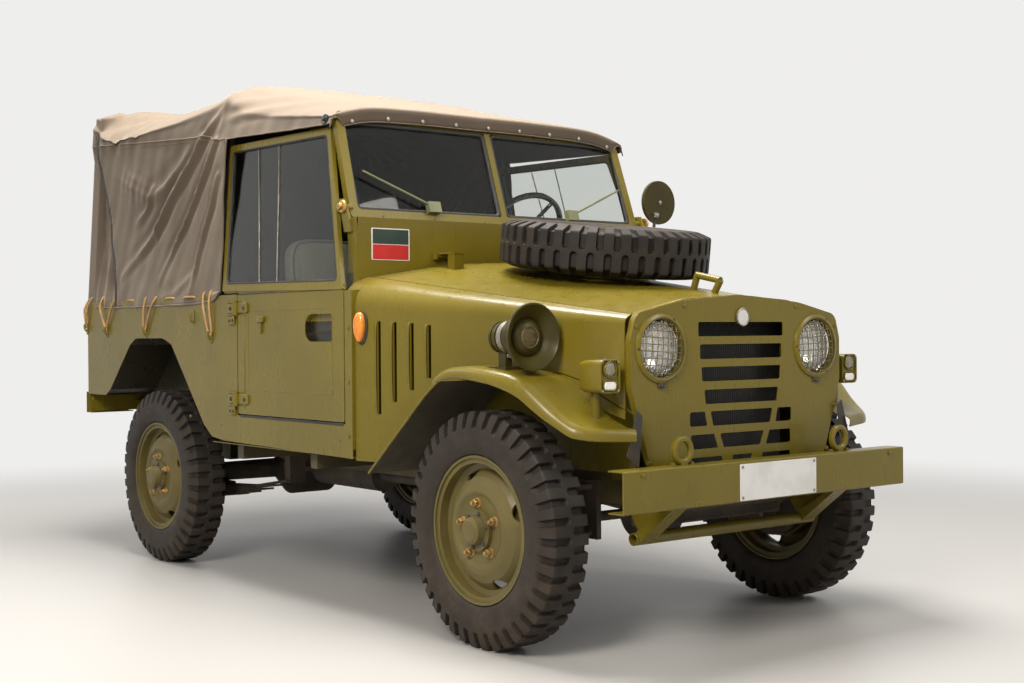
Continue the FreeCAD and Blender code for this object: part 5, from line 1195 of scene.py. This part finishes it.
hornSet = {"at": (1.397, -0.640, 0.927),
           "trumpet": ((-0.040, 0.056), (-0.030, 0.060), (-0.018, 0.070), (-0.006, 0.085), (0.001, 0.0985),
                       (0.006, 0.1005), (0.0085, 0.0985), (0.0080, 0.0945), (0.003, 0.0905), (-0.008, 0.078),
                       (-0.022, 0.062), (-0.033, 0.0545)),
           "ringRadius": 0.030, "ribs": ((-0.150, 0.0455), (-0.128, 0.0458), (-0.085, 0.0465)),
           "meshRim": ((-0.0125, 0.0295), (-0.0095, 0.0295), (-0.0085, 0.0310), (-0.0095, 0.0325),
                       (-0.0125, 0.0325)),
           "plug": ((-0.070, 0.0), (-0.070, 0.060), (-0.052, 0.0615), (-0.036, 0.059), (-0.022, 0.052),
                    (-0.013, 0.042), (-0.0095, 0.0335), (-0.0125, 0.0315), (-0.0135, 0.0))}


def band(a, b, low, high):
    # a flat ring's rows between two radii
    return [(a, low), (a, high), (b, high), (b, low)]


def makeHorn(s):
    # flared mouth, a mesh disc with rings deep inside, ribbed drum behind and a clamp band
    at, r = s["at"], s["ringRadius"]
    x, y, z = at
    rings = [lathe(s["trumpet"], at, ahead, 96), lathe(s["plug"], at, ahead, 72)]
    rings += [lathe(band(k, k + 0.008, r - 0.002, r + 0.0015), at, ahead, 64) for k, r in s["ribs"]]
    bands = [lathe(band(-0.112, -0.092, 0.0455, 0.0478), at, ahead, 64),
             blockPart((x - 0.112, y - 0.008, z - 0.062), (x - 0.092, y + 0.008, z - 0.046)),
             bolt((x - 0.102, y - 0.008, z - 0.054), (0, -1, 0), 0.005, 0.004)]
    mesh = [lathe(s["meshRim"], at, ahead, 56)]
    for c in np.linspace(-0.88, 0.88, 15) * r:
        w = np.sqrt(r ** 2 - c * c) * np.linspace(-1, 1, 4)
        mesh += [rod(np.stack([np.full_like(w, x - back), y + dy, z + dz], 1), 0.0008, 5, up=ahead)
                 for back, dy, dz in ((0.0115, c + 0 * w, w), (0.0109, w, c + 0 * w))]
    feet = [bolt((x - 0.075, y + dy, z - 0.118), (0, 0, 1), 0.006, 0.005) for dy in (-0.026, 0.026)]
    putPiece("hornTrumpet", rings, "hornPaintDarkenedForShade")
    putPiece("hornClamp", bands + feet, "dullSteel")
    putPiece("hornMesh", mesh, "wireMesh", sharp=0)


makeHorn(hornSet)

mirrorSet = {"at": (0.477, 0.780, 1.460), "radius": 0.087,
             "shell": ((0.0065, 0), (0.0070, 0.3), (0.0068, 0.7), (0.005, 0.93), (0.001, 0.995), (-0.004, 1),
                       (-0.0065, 0.985), (-0.007, 0.95)),
             "face": ((-0.0060, 0.955), (-0.0072, 0.955), (-0.0076, 0))}


def makeMirror(s):
    # the rows of shell and face give depth and share of the radius
    x, y, z = s["at"]
    r = s["radius"]
    shell, face = ([lathe([(h, r * k) for h, k in s[key]], s["at"], ahead, 72)] for key in ("shell", "face"))
    joint = [tube(-0.012, 0.012, 0.011, (x + 0.012, y - 0.030, z - 0.052), (0, 1, 0), 24),
             bolt((x + 0.010, y, z), ahead, 0.006, 0.005)]
    putPiece("mirrorShell", shell, "hornPaintDarkenedForShade")
    putPiece("mirrorRim", [hoop((x - 0.0045, y, z), r - 0.002, 0.0028, 72)], "blackRubber", sharp=0)
    putPiece("mirrorFace", face, "silveredGlass")
    putPiece("mirrorJoint", joint, "dullSteel")


makeMirror(mirrorSet)

plateSet = {"front": (1.7605, 0.0115, 0.497, 0.343, 0.108), "sign": (0.5275, -0.549, 1.2455, 0.156, 0.109),
            "rear": (-1.6545, -0.585, 0.955, 0.230, 0.150)}


def makePlates(s):
    # bare white plates, and the bare two-colour tactical sign with its white edge
    flat, screws = [], []
    for key, out, dy, dz in (("front", 1, 0.160, 0.045), ("rear", -1, 0.10, 0.06)):
        x, y, z, w, h = s[key]
        flat.append(plate(roundRect(w, h, 0.004), 0.0018, (x, y, z), (out, 0, 0), edge=0.0006))
        screws += [bolt((x + out * 0.0018, y + a * dy, z + b * dz), (out, 0, 0), 0.0032, 0.001, 12)
                   for a in (-1, 1) for b in (-1, 1)]
    x, y, z, w, h = s["sign"]
    flat.append(plate(roundRect(w, h, 0.003), 0.0012, (x, y, z), ahead, edge=0.0004))
    half = roundRect(w - 0.009, h / 2 - 0.004, 0.001)
    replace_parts(putPiece("barePlates", flat, "whitePlate"), "blank_plates")
    for name, up, mat in (("signTop", h / 4 - 0.0015, "signGreen"), ("signFoot", 0.0005 - h / 4, "signRed")):
        putPiece(name, [plate(half, 0.0004, (x + 0.0012, y, z + up), ahead, edge=0.0001)], mat)
    putPiece("plateScrews", screws, "dullSteel")


makePlates(plateSet)
print("horn, mirror, plates")

nutSet = {"circle": 0.081, "start": 85.0, "count": 5, "face": 0.058, "x": {"front": 1.227, "rear": -0.973},
          "y": 0.65, "z": 0.355, "washer": ((0, 0), (0, 0.0158), (0.0035, 0.0150), (0.0050, 0.0122), (0.0050, 0)),
          "nut": ((0.003, 0), (0.003, 0.0119), (0.0155, 0.0119), (0.0182, 0.0098), (0.0182, 0.0058)),
          "stud": ((0.010, 0.0060), (0.0268, 0.0058), (0.0275, 0.0045), (0.0275, 0)),
          "cap": ((0.094, 0), (0.094, 0.020), (0.0985, 0.0185), (0.0995, 0.008), (0.0995, 0)),
          "ring": ((0.0715, 0.0395), (0.0735, 0.0395), (0.0755, 0.0425), (0.0735, 0.0455), (0.0715, 0.0455))}


def makeNuts(s):
    # copper-washed wheel nuts over the studs, cone seats and hub bolts
    for end, x in s["x"].items():
        for side, hand in ((-1, "right"), (1, "left")):
            body, y, z, out = "road_wheel_%s_%s" % (end, hand), side * s["y"], s["z"], (0, side, 0)
            nuts = []
            for k in range(s["count"]):
                a = radians(s["start"] + 360.0 / s["count"] * k)
                at = (x + side * s["circle"] * cos(a), y + side * (s["face"] - 0.001), z + s["circle"] * sin(a))
                nuts += [lathe(s["washer"], at, out, 24), lathe(s["nut"], at, out, 6, (cos(a), 0, sin(a))),
                         lathe(s["stud"], at, out, 16)]
            hub = [bolt((x + 0.052 * cos(a), y + side * 0.0725, z + 0.052 * sin(a)), out, 0.0055,
                        0.004) for a in np.radians(60 * np.arange(6) + 15)]
            hub += [lathe(s["cap"], (x, y, z), out, 32), lathe(s["ring"], (x, y, z), out, 40)]
            putPiece("nuts_" + body, nuts, "agedBrass", body)
            putPiece("hub_" + body, hub, "castMetal", body)


makeNuts(nutSet)
print("wheel nuts")

# pads by size, place on the left half, tilt, crown and sewn channels
seatSet = {"pads": {"seatBases": ((0.415, 0.405, 0.095), (0.035, 0.33, 0.778), -3.0, 0.016, 5),
                    "seatBacks": ((0.500, 0.395, 0.070), (-0.192, 0.33, 1.060), 81.0, 0.014, 5),
                    "benchSeats": ((0.895, 0.285, 0.050), (-1.110, 0.36, 0.9075), 0.0, 0.0, 0),
                    "benchBacks": ((0.895, 0.036, 0.092), (-1.110, 0.695, 1.0125), 0.0, 0.0, 0)},
           "pipe": 0.0034, "seatY": 0.33, "railY": 0.165,
           "legs": ((0.20, 0.562), (0.215, 0.700), (0.19, 0.722), (-0.12, 0.712), (-0.155, 0.700), (-0.160, 0.562)),
           "back": ((-0.15, 0.70), (-0.165, 0.80), (-0.222, 1.10), (-0.245, 1.27)),
           "benchIn": {-1: -0.505, 1: 0.215}}


def cushion(size, at, tilt, crown, channels, pipeRadius, nu=56, nv=36, power=0.32, sink=0.006):
    # a rounded box as a superellipsoid, its top crowned, with stitched channels across; tilt turns it about Y
    a = np.linspace(-pi / 2, pi / 2, nv)[:, None]
    b = np.linspace(0, 2 * pi, nu, endpoint=False)[None]
    soft = lambda q: np.sign(q) * np.abs(q) ** power
    x, y, z = soft(np.cos(a)) * soft(np.cos(b)), soft(np.cos(a)) * soft(np.sin(b)), soft(np.sin(a)) * np.ones_like(b)
    high = crown * (1 - x ** 2) * (1 - y ** 2) * (z > 0)
    groove = 0
    if channels:
        valley = np.exp(-((((y * channels * 0.5 + 0.5) % 1) - 0.5) / 0.07) ** 2)
        groove = sink * valley * (z > 0.3) * (1 - np.abs(x) ** 6)
    rumple = 0.0022 * np.sin(x * 5.1 + y * 7.3) * np.sin(y * 9.7 - x * 3.1) * (np.abs(z) > 0.4)
    v = np.stack([x * size[0] / 2, y * size[1] / 2, z * size[2] / 2 + high - groove + rumple], -1)
    t = radians(tilt)
    m = np.array(((cos(t), 0, -sin(t)), (0, 1, 0), (sin(t), 0, cos(t))))
    pipe = rod(v[nv // 2 + 6] * (1.004, 1.004, 1) @ m + at, pipeRadius, 8, True)
    v = v.reshape(-1, 3)
    return (v @ m + np.array(at), gridFaces(nv, nu, False, True)), pipe, v[:, :2] + v[:, 2:] * 0.7


def makeSeats(s):
    pads = {key: [cushion(size, (x, side * y, z), tilt, crown, channels, s["pipe"]) for side in (-1, 1)]
            for key, (size, (x, y, z), tilt, crown, channels) in s["pads"].items()}
    for key, made in pads.items():
        obj = putPiece(key, [m[0] for m in made], "seatCloth", sharp=0,
                       uv=np.concatenate([m[2] for m in made]), weld=False)
        if key == "seatBases":
            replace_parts(obj, "seats")
    pipes = [pads[key][k][1] for k in (0, 1) for key in pads]
    putPiece("seatPiping", pipes, "blackRubber", sharp=0)
    frames = []
    for side in (-1, 1):
        y, r = side * s["seatY"], s["railY"]
        for dy in (-r, r):
            frames += [rod(smoothPath([(x, y + dy, z) for x, z in s[key]], 6), radius, 12, up=(0, 1, 0))
                       for key, radius in (("legs", 0.011), ("back", 0.010))]
        frames += [rod([(-0.245, y - r, 1.268), (-0.245, y + r, 1.268)], 0.010, 12),
                   blockPart((-0.150, y - 0.17, 0.7115), (0.205, y + 0.17, 0.7255), 0.004),
                   blockPart((-0.165, y - 0.168, 0.5605), (0.220, y - 0.140, 0.5665)),
                   blockPart((-0.165, y + 0.140, 0.5605), (0.220, y + 0.168, 0.5665))]
        b = s["benchIn"][side]
        frames.append(blockPart((-1.555, b + 0.004, 0.874), (-0.665, b + 0.286, 0.886), 0.003))
        frames += [rod([(x, b + 0.05, 0.644), (x, b + 0.05, 0.880)], 0.013, 12, up=ahead) for x in (-1.48, -0.74)]
        frames += [sideBlock(side, (-1.10, -1.06), (0.485 if side > 0 else 0.49, 0.70), (0.9325, 0.9415), 0.002),
                   blockPart((-1.10, side * 0.69 - 0.010, 0.9325), (-1.06, side * 0.69 + 0.010, 0.985))]
    putPiece("seatFrames", frames, "olivePaintInside")


makeSeats(seatSet)
print("seats")

wingSet = {"edge": ((1.030, 0.7390), (1.100, 0.7395), (1.196, 0.7366), (1.289, 0.7297), (1.377, 0.7155),
                    (1.460, 0.6952), (1.523, 0.6738), (1.573, 0.6562), (1.599, 0.6381), (1.618, 0.6156),
                    (1.632, 0.5874), (1.644, 0.5462), (1.654, 0.5107), (1.663, 0.4794)),
           "inner": ((1.030, 0.6120), (1.100, 0.5950), (1.196, 0.5690), (1.289, 0.5440), (1.377, 0.5209),
                     (1.460, 0.5003), (1.518, 0.4853), (1.557, 0.4758), (1.575, 0.4724), (1.587, 0.4705),
                     (1.600, 0.4698), (1.614, 0.4705), (1.633, 0.4702), (1.651, 0.4706)),
           "ridge": ((1.020, 0.7960), (1.040, 0.8120), (1.075, 0.8270), (1.119, 0.8360), (1.187, 0.8375),
                     (1.248, 0.8336), (1.317, 0.8273), (1.371, 0.8173), (1.420, 0.7975), (1.465, 0.7638),
                     (1.507, 0.7288), (1.539, 0.7031), (1.573, 0.6826), (1.618, 0.6662), (1.667, 0.6622)),
           "lip": ((1.020, 0.7680), (1.062, 0.7930), (1.111, 0.8060), (1.160, 0.8075), (1.198, 0.8050),
                   (1.292, 0.7933), (1.360, 0.7755), (1.411, 0.7538), (1.458, 0.7211), (1.501, 0.6913),
                   (1.539, 0.6686), (1.584, 0.6449), (1.664, 0.6296)),
           "slots": ((0.719, 0.684), (0.812, 0.751), (0.907, 0.822), (1.002, 0.8925)), "linerIn": 0.455,
           "arch": ((0.672, 0.486), (0.742, 0.543), (0.82, 0.6073), (0.90, 0.6727), (0.983, 0.7405), (1.03, 0.773),
                    (1.06, 0.792)),
           "round": 0.030}


wingTaper = 0.2549


def wingFace(x):
    # how far out the tapering side panel stands at x
    return 0.740 - (x - 0.531) * wingTaper


def wingSkin(s, arch):
    # the rolled skin over a front wheel: flat across, turned down round its outer edge and its nose, 3 mm thick
    edge, inner = smoothPath(s["edge"], 9), smoothPath(s["inner"], 9)
    nu = len(edge)
    t = np.concatenate([np.linspace(0, 0.72, 12), np.linspace(0.76, 1, 16)])
    p = inner[:, None] + (edge - inner)[:, None] * t[None, :, None]
    span = np.linalg.norm(edge - inner, axis=1)
    n = (edge - inner) / span[:, None]
    d = span[:, None] * (1 - t)
    zl = curve(s["lip"], edge[:, 0])
    r = np.minimum(s["round"], 0.75 * (curve(s["ridge"], edge[:, 0]) - zl))[:, None]
    drop = np.where(d < r, r - np.sqrt(np.clip(r ** 2 - (r - d) ** 2, 0, None)), 0)
    z = curve(s["ridge"], p[..., 0]) - drop + 0.004 * np.sin(pi * t)[None] * np.clip(span / 0.2, 0, 1)[:, None]
    top = np.concatenate([p, z[..., None]], -1)
    z1 = top[:, -1, 2]
    low = [np.column_stack([edge, z1 + (zl - z1) * k]) for k in (0.3, 0.6, 0.85, 1.0)]
    low += [np.column_stack([edge - n * 0.0035 * (1 - cos(a)), zl - 0.0035 * sin(a)])
            for a in pi * np.array((0.25, 0.5, 0.75, 1.0))]
    back = top[:, ::-1] - (0, 0, 0.003)
    back[:, :16, :2] -= n[:, None] * np.linspace(0.004, 0.0, 16)[None, :, None]
    grid = np.concatenate([top, np.stack(low, 1), back], 1)
    m = grid.shape[1]
    ends = [list(range(m))[::-1], list(range(m * (nu - 1), m * nu))]
    bead = rod(np.column_stack([arch[:, 0], np.full(len(arch), 0.7385), arch[:, 1]]), 0.0042, 8)
    return [(grid.reshape(-1, 3), gridFaces(nu, m, False, True).tolist() + ends), bead]


def wingPanels(s):
    # the kept part of the wing node: its side panels, aprons and stays, as a copy without the plain shelf
    work = bmesh.new()
    work.from_mesh(nodes["front_wings"].data)
    bmesh.ops.remove_doubles(work, verts=work.verts, dist=1e-5)
    middles = [(f, f.calc_center_median()) for f in work.faces]
    gone = [f for f, c in middles if c.x > 1.6035 or
            (c.x > 1.033 and abs(c.y) > wingFace(c.x) + 0.0025 and c.z < 0.86)]
    bmesh.ops.delete(work, geom=gone, context="FACES")
    # slide each louvre slot back along the flat panel, then trim the panel to the arch line
    for v in work.verts:
        for old, new in s["slots"]:
            near = wingFace(v.co.x) - abs(v.co.y)
            if abs(v.co.x - old) < 0.022 and -0.002 < near < 0.008 and 0.67 < v.co.z < 0.985:
                v.co.y -= (new - old) * wingTaper * (1 if v.co.y > 0 else -1)
                v.co.x += new - old
                break
    (ax, az), (bx, bz) = s["arch"][1], s["arch"][3]
    cut, at = Vector((bz - az, 0, ax - bx)).normalized(), Vector((ax, 0, az))
    work.normal_update()
    middles = [(f, f.calc_center_median()) for f in work.faces]
    side = [f for f, c in middles if c.x < 1.034 and abs(c.y) > wingFace(c.x) - 0.010]
    edges, points = {e for f in side for e in f.edges}, {v for f in side for v in f.verts}
    bmesh.ops.bisect_plane(work, geom=side + list(edges) + list(points), dist=1e-5, plane_co=at, plane_no=cut)
    middles = [(f, f.calc_center_median()) for f in work.faces]
    gone = [f for f, c in middles if c.x < 1.06 and (c - at).dot(cut) > 1e-4 and abs(c.y) > wingFace(c.x) - 0.012]
    bmesh.ops.delete(work, geom=gone, context="FACES")
    mesh = bpy.data.meshes.new("wingPanels")
    work.to_mesh(mesh)
    work.free()
    mesh.shade_smooth()
    mesh.set_sharp_from_angle(angle=radians(28))
    mesh.materials.clear()
    return mesh


def makeWings(s):
    arch = smoothPath(s["arch"], 6)
    panels = addObject("wingPanels", wingPanels(s), "oliveArmyPaint", "car_body")
    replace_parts(panels, "front_wings")
    putPiece("wingSkins", mirrored(wingSkin(s, arch)), sharp=50)
    # the flare's inner face runs from its edge bead in to the apron
    n = len(arch)
    across = np.linspace(0.7375, s["linerIn"], 12)
    v = np.stack([np.repeat(arch[:, :1], 12, 1), np.repeat(across[None], n, 0),
                  np.repeat(arch[:, 1:], 12, 1) - 0.001], -1)
    v = v.reshape(-1, 3)
    skins = [(v + lift, gridFaces(n, 12)) for lift in ((0, 0, 0), (-0.0016, 0, 0.0020))]
    putPiece("wingLiners", mirrored(skins), "linerPaint", sharp=0, outward=False)


makeWings(wingSet)
print("wings")

glazeSet = {"base": (0.474, 1.335), "lean": 18.2, "pane": (0.0125, 0.6375, 0.0345, 0.3687),
            "doorBase": (0.734, 1.100), "doorLean": 8.0,
            "doorInner": ((-0.310, 0.034), (0.486, 0.020), (0.310, 0.538), (-0.384, 0.550)),
            "strips": ((-0.060, -0.182), (0.070, -0.028))}


def roundLoop(corners, r, n=6):
    # a closed outline with its corners rounded
    c = np.asarray(corners, float)
    out = []
    for k in range(len(c)):
        a, b, d = c[k - 1], c[k], c[(k + 1) % len(c)]
        u, v = (a - b) / np.linalg.norm(a - b), (d - b) / np.linalg.norm(d - b)
        t = np.linspace(0, 1, n)[:, None]
        p, q = b + u * r, b + v * r
        out.append((1 - t) ** 2 * p + 2 * t * (1 - t) * b + t ** 2 * q)
    return np.concatenate(out)


def makeGlazing(s):
    # rubber round each pane, rivets along the screen frame, and the door windows' rails
    lean, (bx, bz) = radians(s["lean"]), s["base"]
    y0, y1, z0, z1 = s["pane"]
    out = (cos(lean), 0, sin(lean))
    rubber, clips = [], []
    local = lambda x, y, z: np.stack([bx + x * cos(lean) - z * sin(lean), y, bz + z * cos(lean) + x * sin(lean)], -1)
    for side in (-1, 1):
        loop = roundLoop([(side * y0, z0), (side * y1, z0), (side * y1, z1), (side * y0, z1)], 0.022, 7)
        middle = np.array((side * (y0 + y1) / 2, (z0 + z1) / 2))
        inset = loop + np.sign(middle - loop) * 0.0035
        rubber += [rod(local(np.full(len(loop), x), inset[:, 0], inset[:, 1]), r, 10, True, up=out)
                   for x, r in ((-0.0095, 0.0085), (-0.0175, 0.0070))]
        clips += [rivet(local(np.array(0.0), np.array(side * y), np.array(z)), out, 0.0042, 0.0022)
                  for y in (0.10, 0.32, 0.54) for z in (0.0125, 0.388)]
    putPiece("screenGaskets", rubber, "blackRubber", sharp=0)
    putPiece("screenRivets", clips)
    tilt, (dy, dz) = radians(s["doorLean"]), s["doorBase"]
    loop = roundLoop(s["doorInner"], 0.020, 6)
    for side, body in ((-1, "right_door"), (1, "left_door")):
        place = lambda x, z, out: np.stack([x, side * (dy - z * sin(tilt) + out * cos(tilt)),
                                            dz + z * cos(tilt) + out * sin(tilt)], -1)
        rub = [rod(place(loop[:, 0], loop[:, 1], np.full(len(loop), k)), 0.0048, 8, True, up=(0, 1, 0))
               for k in (0.0045, -0.0045)]
        bars = [sweep(place(np.linspace(x0, x1, 4), np.linspace(0.028, 0.540, 4), np.full(4, 0.0042)),
                      flatBar(0.0022, 0.0015), (0, side, 0)) for x0, x1 in s["strips"]]
        putPiece("windowRubber_" + body, rub, "blackRubber", body, sharp=0)
        putPiece("windowRails_" + body, bars, "dullSteel", body)


makeGlazing(glazeSet)
print("glazing")

# lines and folds by their ends in x and z; hinges by height; blocks by x, distance out from the face, z
doorSet = {"face": 0.7402, "panel": ((-0.135, 0.735), (0.455, 0.735), (0.455, 1.030), (-0.135, 1.030)),
           "folds": (((-0.165, 0.665), (-0.165, 1.075)), ((-0.21, 1.0935), (0.52, 1.0935))),
           "hinges": (0.700, 1.040),
           "cups": (((-0.055, -0.008), 0.012, (0.985, 1.008), 0.003),
                    ((-0.037, -0.027), 0.008, (0.945, 0.988), 0.002)),
           "lips": (((-0.332, -0.222), 0.7265, (1.0965, 1.110)), ((-0.218, 0.520), 0.722, (1.0870, 1.110)))}


def makeDoors(s):
    # pressed panel line, hinges split at the pin between door and body, slam bolt, and a black rubber strip in the
    # gap under each door, standing for the shade in that gap: painted shade
    face = s["face"]
    outer, near, far = (face, face + 0.006), (-0.210, -0.140), (-0.288, -0.232)
    loop = roundLoop(s["panel"], 0.012, 5)
    for side, body, node in ((-1, "right_door", "door_right"), (1, "left_door", "door_left")):
        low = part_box(node)[0].z
        out = (0, side, 0)
        edge = np.column_stack([loop[:, 0], np.full(len(loop), side * 0.7396), loop[:, 1]])
        lines = [rod(edge, 0.0016, 6, True, up=(0, 1, 0))]
        lines += [rod([(x, side * 0.7398, z) for x, z in ends], 0.0022, 8, up=(0, 1, 0)) for ends in s["folds"]]
        straps, bolts, fixed, fixedBolts = [], [], [], []
        for z in s["hinges"]:
            straps += [sideBlock(side, near, outer, (z - 0.020, z + 0.020)),
                       tube(-0.024, 0.024, 0.0105, (-0.220, side * 0.7475, z), (0, 0, 1), 20)]
            fixed += [sideBlock(side, far, outer, (z - 0.020, z + 0.020)),
                      sideBlock(side, (-0.276, -0.232), (face, face + 0.009), (z - 0.062, z - 0.030))]
            bolts.append(bolt((-0.160, side * outer[1], z), out, 0.006, 0.004))
            fixedBolts.append(bolt((-0.266, side * outer[1], z), out, 0.006, 0.004))
            fixedBolts += [bolt((x, side * (face + 0.009), z - 0.046), out, 0.0042, 0.003) for x in (-0.266, -0.243)]
        straps += [sideBlock(side, x, (face, face + high), z, soft) for x, high, z, soft in s["cups"]]
        putPiece("doorLines_" + body, lines, body=body, sharp=0)
        putPiece("doorStraps_" + body, straps, body=body)
        putPiece("doorBolts_" + body, bolts, "castMetal", body=body)
        putPiece("hingePlates_" + body, fixed)
        putPiece("hingeBolts_" + body, fixedBolts, "castMetal")
        # painted shade: a black strip in the gap under the door
        gapShadeStrip = sideBlock(side, (-0.205, 0.524), (0.734, 0.7408), (low - 0.0125, low - 0.0035), 0.001)
        putPiece("doorGapShade_" + body, [gapShadeStrip], "blackRubber")
        putPiece("doorLip_" + body, [sideBlock(side, x, (y, 0.7365), z, 0.001) for x, y, z in s["lips"]], body=body)


makeDoors(doorSet)

# louvres by x and the two ends in z; rivets and bolts by the two coordinates that place them
trimSet = {"louvres": ((0.684, 0.677, 0.981), (0.751, 0.719, 0.977), (0.822, 0.758, 0.973), (0.8925, 0.798, 0.966)),
           "tubRivets": ((-1.60, 0.66), (-1.60, 0.98), (-0.62, 0.62), (-0.36, 0.60), (0.30, 0.585), (0.50, 0.585)),
           "grilleBolts": ((0.40, 0.56), (0.436, 0.70), (0.446, 0.955), (0.25, 1.016)),
           "bracket": ((-0.030, -0.055), (0.018, -0.090), (0.034, 0.060), (0.012, 0.075)),
           "pivot": ((0, 0), (0, 0.021), (0.004, 0.0225), (0.008, 0.021), (0.010, 0.012), (0.020, 0.011),
                     (0.022, 0.007), (0.022, 0)),
           "weltHalf": 0.425, "weltX": 1.6035, "weltZ": ((0, 0.23, 0.428), (1.0495, 1.0355, 0.9925)),
           "ring": ((0.0, 0.0235), (0.0035, 0.0245), (0.0045, 0.0262), (0.0035, 0.0282), (0.0, 0.0285)),
           "badgeZ": 0.983, "disc": ((0.0, 0), (0.0, 0.0240), (0.0020, 0.0238), (0.0028, 0.015), (0.0030, 0))}


def makeBodyTrim(s):
    hoods, bolts, dark, brass = [], [], [], []
    t, n = np.linspace(0, 1, 8), 26
    across = 0.0065 + 0.020 * (1 - t)
    swell = np.sin(pi * np.linspace(0, 1, n)) ** 0.22
    for side in (-1, 1):
        out = (0, side, 0)
        for x, z0, z1 in s["louvres"]:
            # a pressed hood behind each slot, highest in the middle of its width
            z = np.linspace(z0 - 0.004, z1 + 0.004, n)[:, None]
            high = 0.0085 * np.sin(pi * 0.5 * t)[None] ** 1.6 * swell[:, None]
            rise = wingFace(x) + wingTaper * across[None] + high - 0.0005
            v = np.stack([np.repeat(x - across[None], n, 0), side * rise, np.repeat(z, 8, 1)], -1).reshape(-1, 3)
            hoods += [(v, gridFaces(n, 8)), (v - (0, side * 0.0012, 0), gridFaces(n, 8))]
        bolts += [bolt((0.5565, side * 0.7405, z), out, 0.005, 0.003) for z in (0.60, 0.78, 0.96)]
        bolts += [rivet((x, side * 0.7398, z), out, 0.006, 0.0025) for x, z in s["tubRivets"]]
        bolts += [rivet((1.7598, side * y, 0.452), ahead, 0.006, 0.002) for y in (0.12, 0.33)]
        bolts.append(bolt((1.7602, side * 0.55, 0.544), ahead, 0.006, 0.004))
        bolts += [bolt((1.6272, side * y, z), ahead, 0.0052, 0.0035) for y, z in s["grilleBolts"]]
        # wing-to-grille bracket, shackle pins and the windscreen pivot
        dark.append(plate(np.array(s["bracket"]) * (-side, 1), 0.003, (1.640, side * 0.470, 0.640), ahead))
        brass.append(lathe(s["pivot"], (0.470, side * 0.7015, 1.372), out, 28))
        bolts += [bolt((1.715, side * 0.350 + dy * 1.7, 0.5595), (0, 0, 1), 0.0075, 0.006) for dy in (-0.022, 0.022)]
    bolts.append(blockPart((1.270, 0.515, 0.971), (1.330, 0.525, 0.995), 0.003))  # bonnet catch
    putPiece("louvreHoods", hoods, sharp=0, outward=False)
    putPiece("bodyBolts", bolts)
    putPiece("wingBrackets", dark, "blackChassisPaint")
    putPiece("screenPivots", brass, "agedBrass")
    # stitched webbing along the bonnet's front edge, riding with the lid
    y = np.linspace(-s["weltHalf"], s["weltHalf"], 60)
    path = np.stack([np.full_like(y, s["weltX"]), y, np.interp(np.abs(y), *s["weltZ"]) + 0.0012], 1)
    strip = sweep(path, flatBar(0.005, 0.0012))
    putPiece("bonnetWelt", [strip], "tanWebbing", body="bonnet_lid")
    # badge disc left bare, in a bright ring
    putPiece("badgeRing", [lathe(s["ring"], (1.6302, 0, s["badgeZ"]), ahead, 56)], "dullSteel")
    putPiece("badgeDisc", [lathe(s["disc"], (1.6305, 0, s["badgeZ"]), ahead, 48)], "whitePlate")


makeBodyTrim(trimSet)
print("body trim")


def sideSlab(outline, y0, y1):
    # an outline in x and z carried straight from y0 to y1, its two ends the outline itself
    o, n = np.array(outline), len(outline)
    v = np.concatenate([np.stack([o[:, 0], np.full(n, y), o[:, 1]], 1) for y in (y0, y1)])
    sides = [(i, (i + 1) % n, (i + 1) % n + n, i + n) for i in range(n)]
    return v, [tuple(range(n - 1, -1, -1)), tuple(range(n, 2 * n))] + sides


braceSet = {"tube": (1.560, 0.400, 0.333), "radius": (0.019, 0.0160), "flange": 0.4392, "strut": (0.330, 0.390),
            "hanger": (0.350, 0.360)}


def makeBrace(s):
    # the cross tube under the front bumper, on two slanted struts and two side plates, and the dark beam behind it
    x, half, z = s["tube"]
    outer, inner = s["radius"]
    soft = 0.001
    rows = [(-half, inner), (-half, outer - soft), (-half + soft, outer), (half - soft, outer), (half, outer - soft),
            (half, inner), (-half, inner)]
    parts = [lathe(rows, (x, 0, z), (0, 1, 0), 40)]
    cross = [blockPart((1.470, -0.325, 0.350), (1.500, 0.325, 0.4245), 0.008),
             rod([(1.515, -0.34, 0.398), (1.515, 0.34, 0.398)], 0.011, 16)]
    strut = [(x - 0.004, z + 0.017), (x + 0.018, z - 0.007), (1.722, s["flange"]), (1.698, s["flange"])]
    hanger = [(1.492, 0.462), (1.492, 0.424), (x - 0.014, z + 0.012), (x + 0.014, z + 0.012), (1.640, 0.424),
              (1.640, 0.4392), (1.600, 0.462)]
    for side in (-1, 1):
        parts += [sideSlab(outline, *sorted(side * k for k in s[key])) for outline,
                  key in ((strut, "strut"), (hanger, "hanger"))]
        cross.append(blockPart((1.492, side * 0.30 - 0.012, 0.380), (1.520, side * 0.30 + 0.012, 0.416), 0.003))
    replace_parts(putPiece("frontBrace", parts, outward=False), "bumper_brace")
    putPiece("frontCrossmember", cross, "blackChassisPaint")


makeBrace(braceSet)
print("front brace")
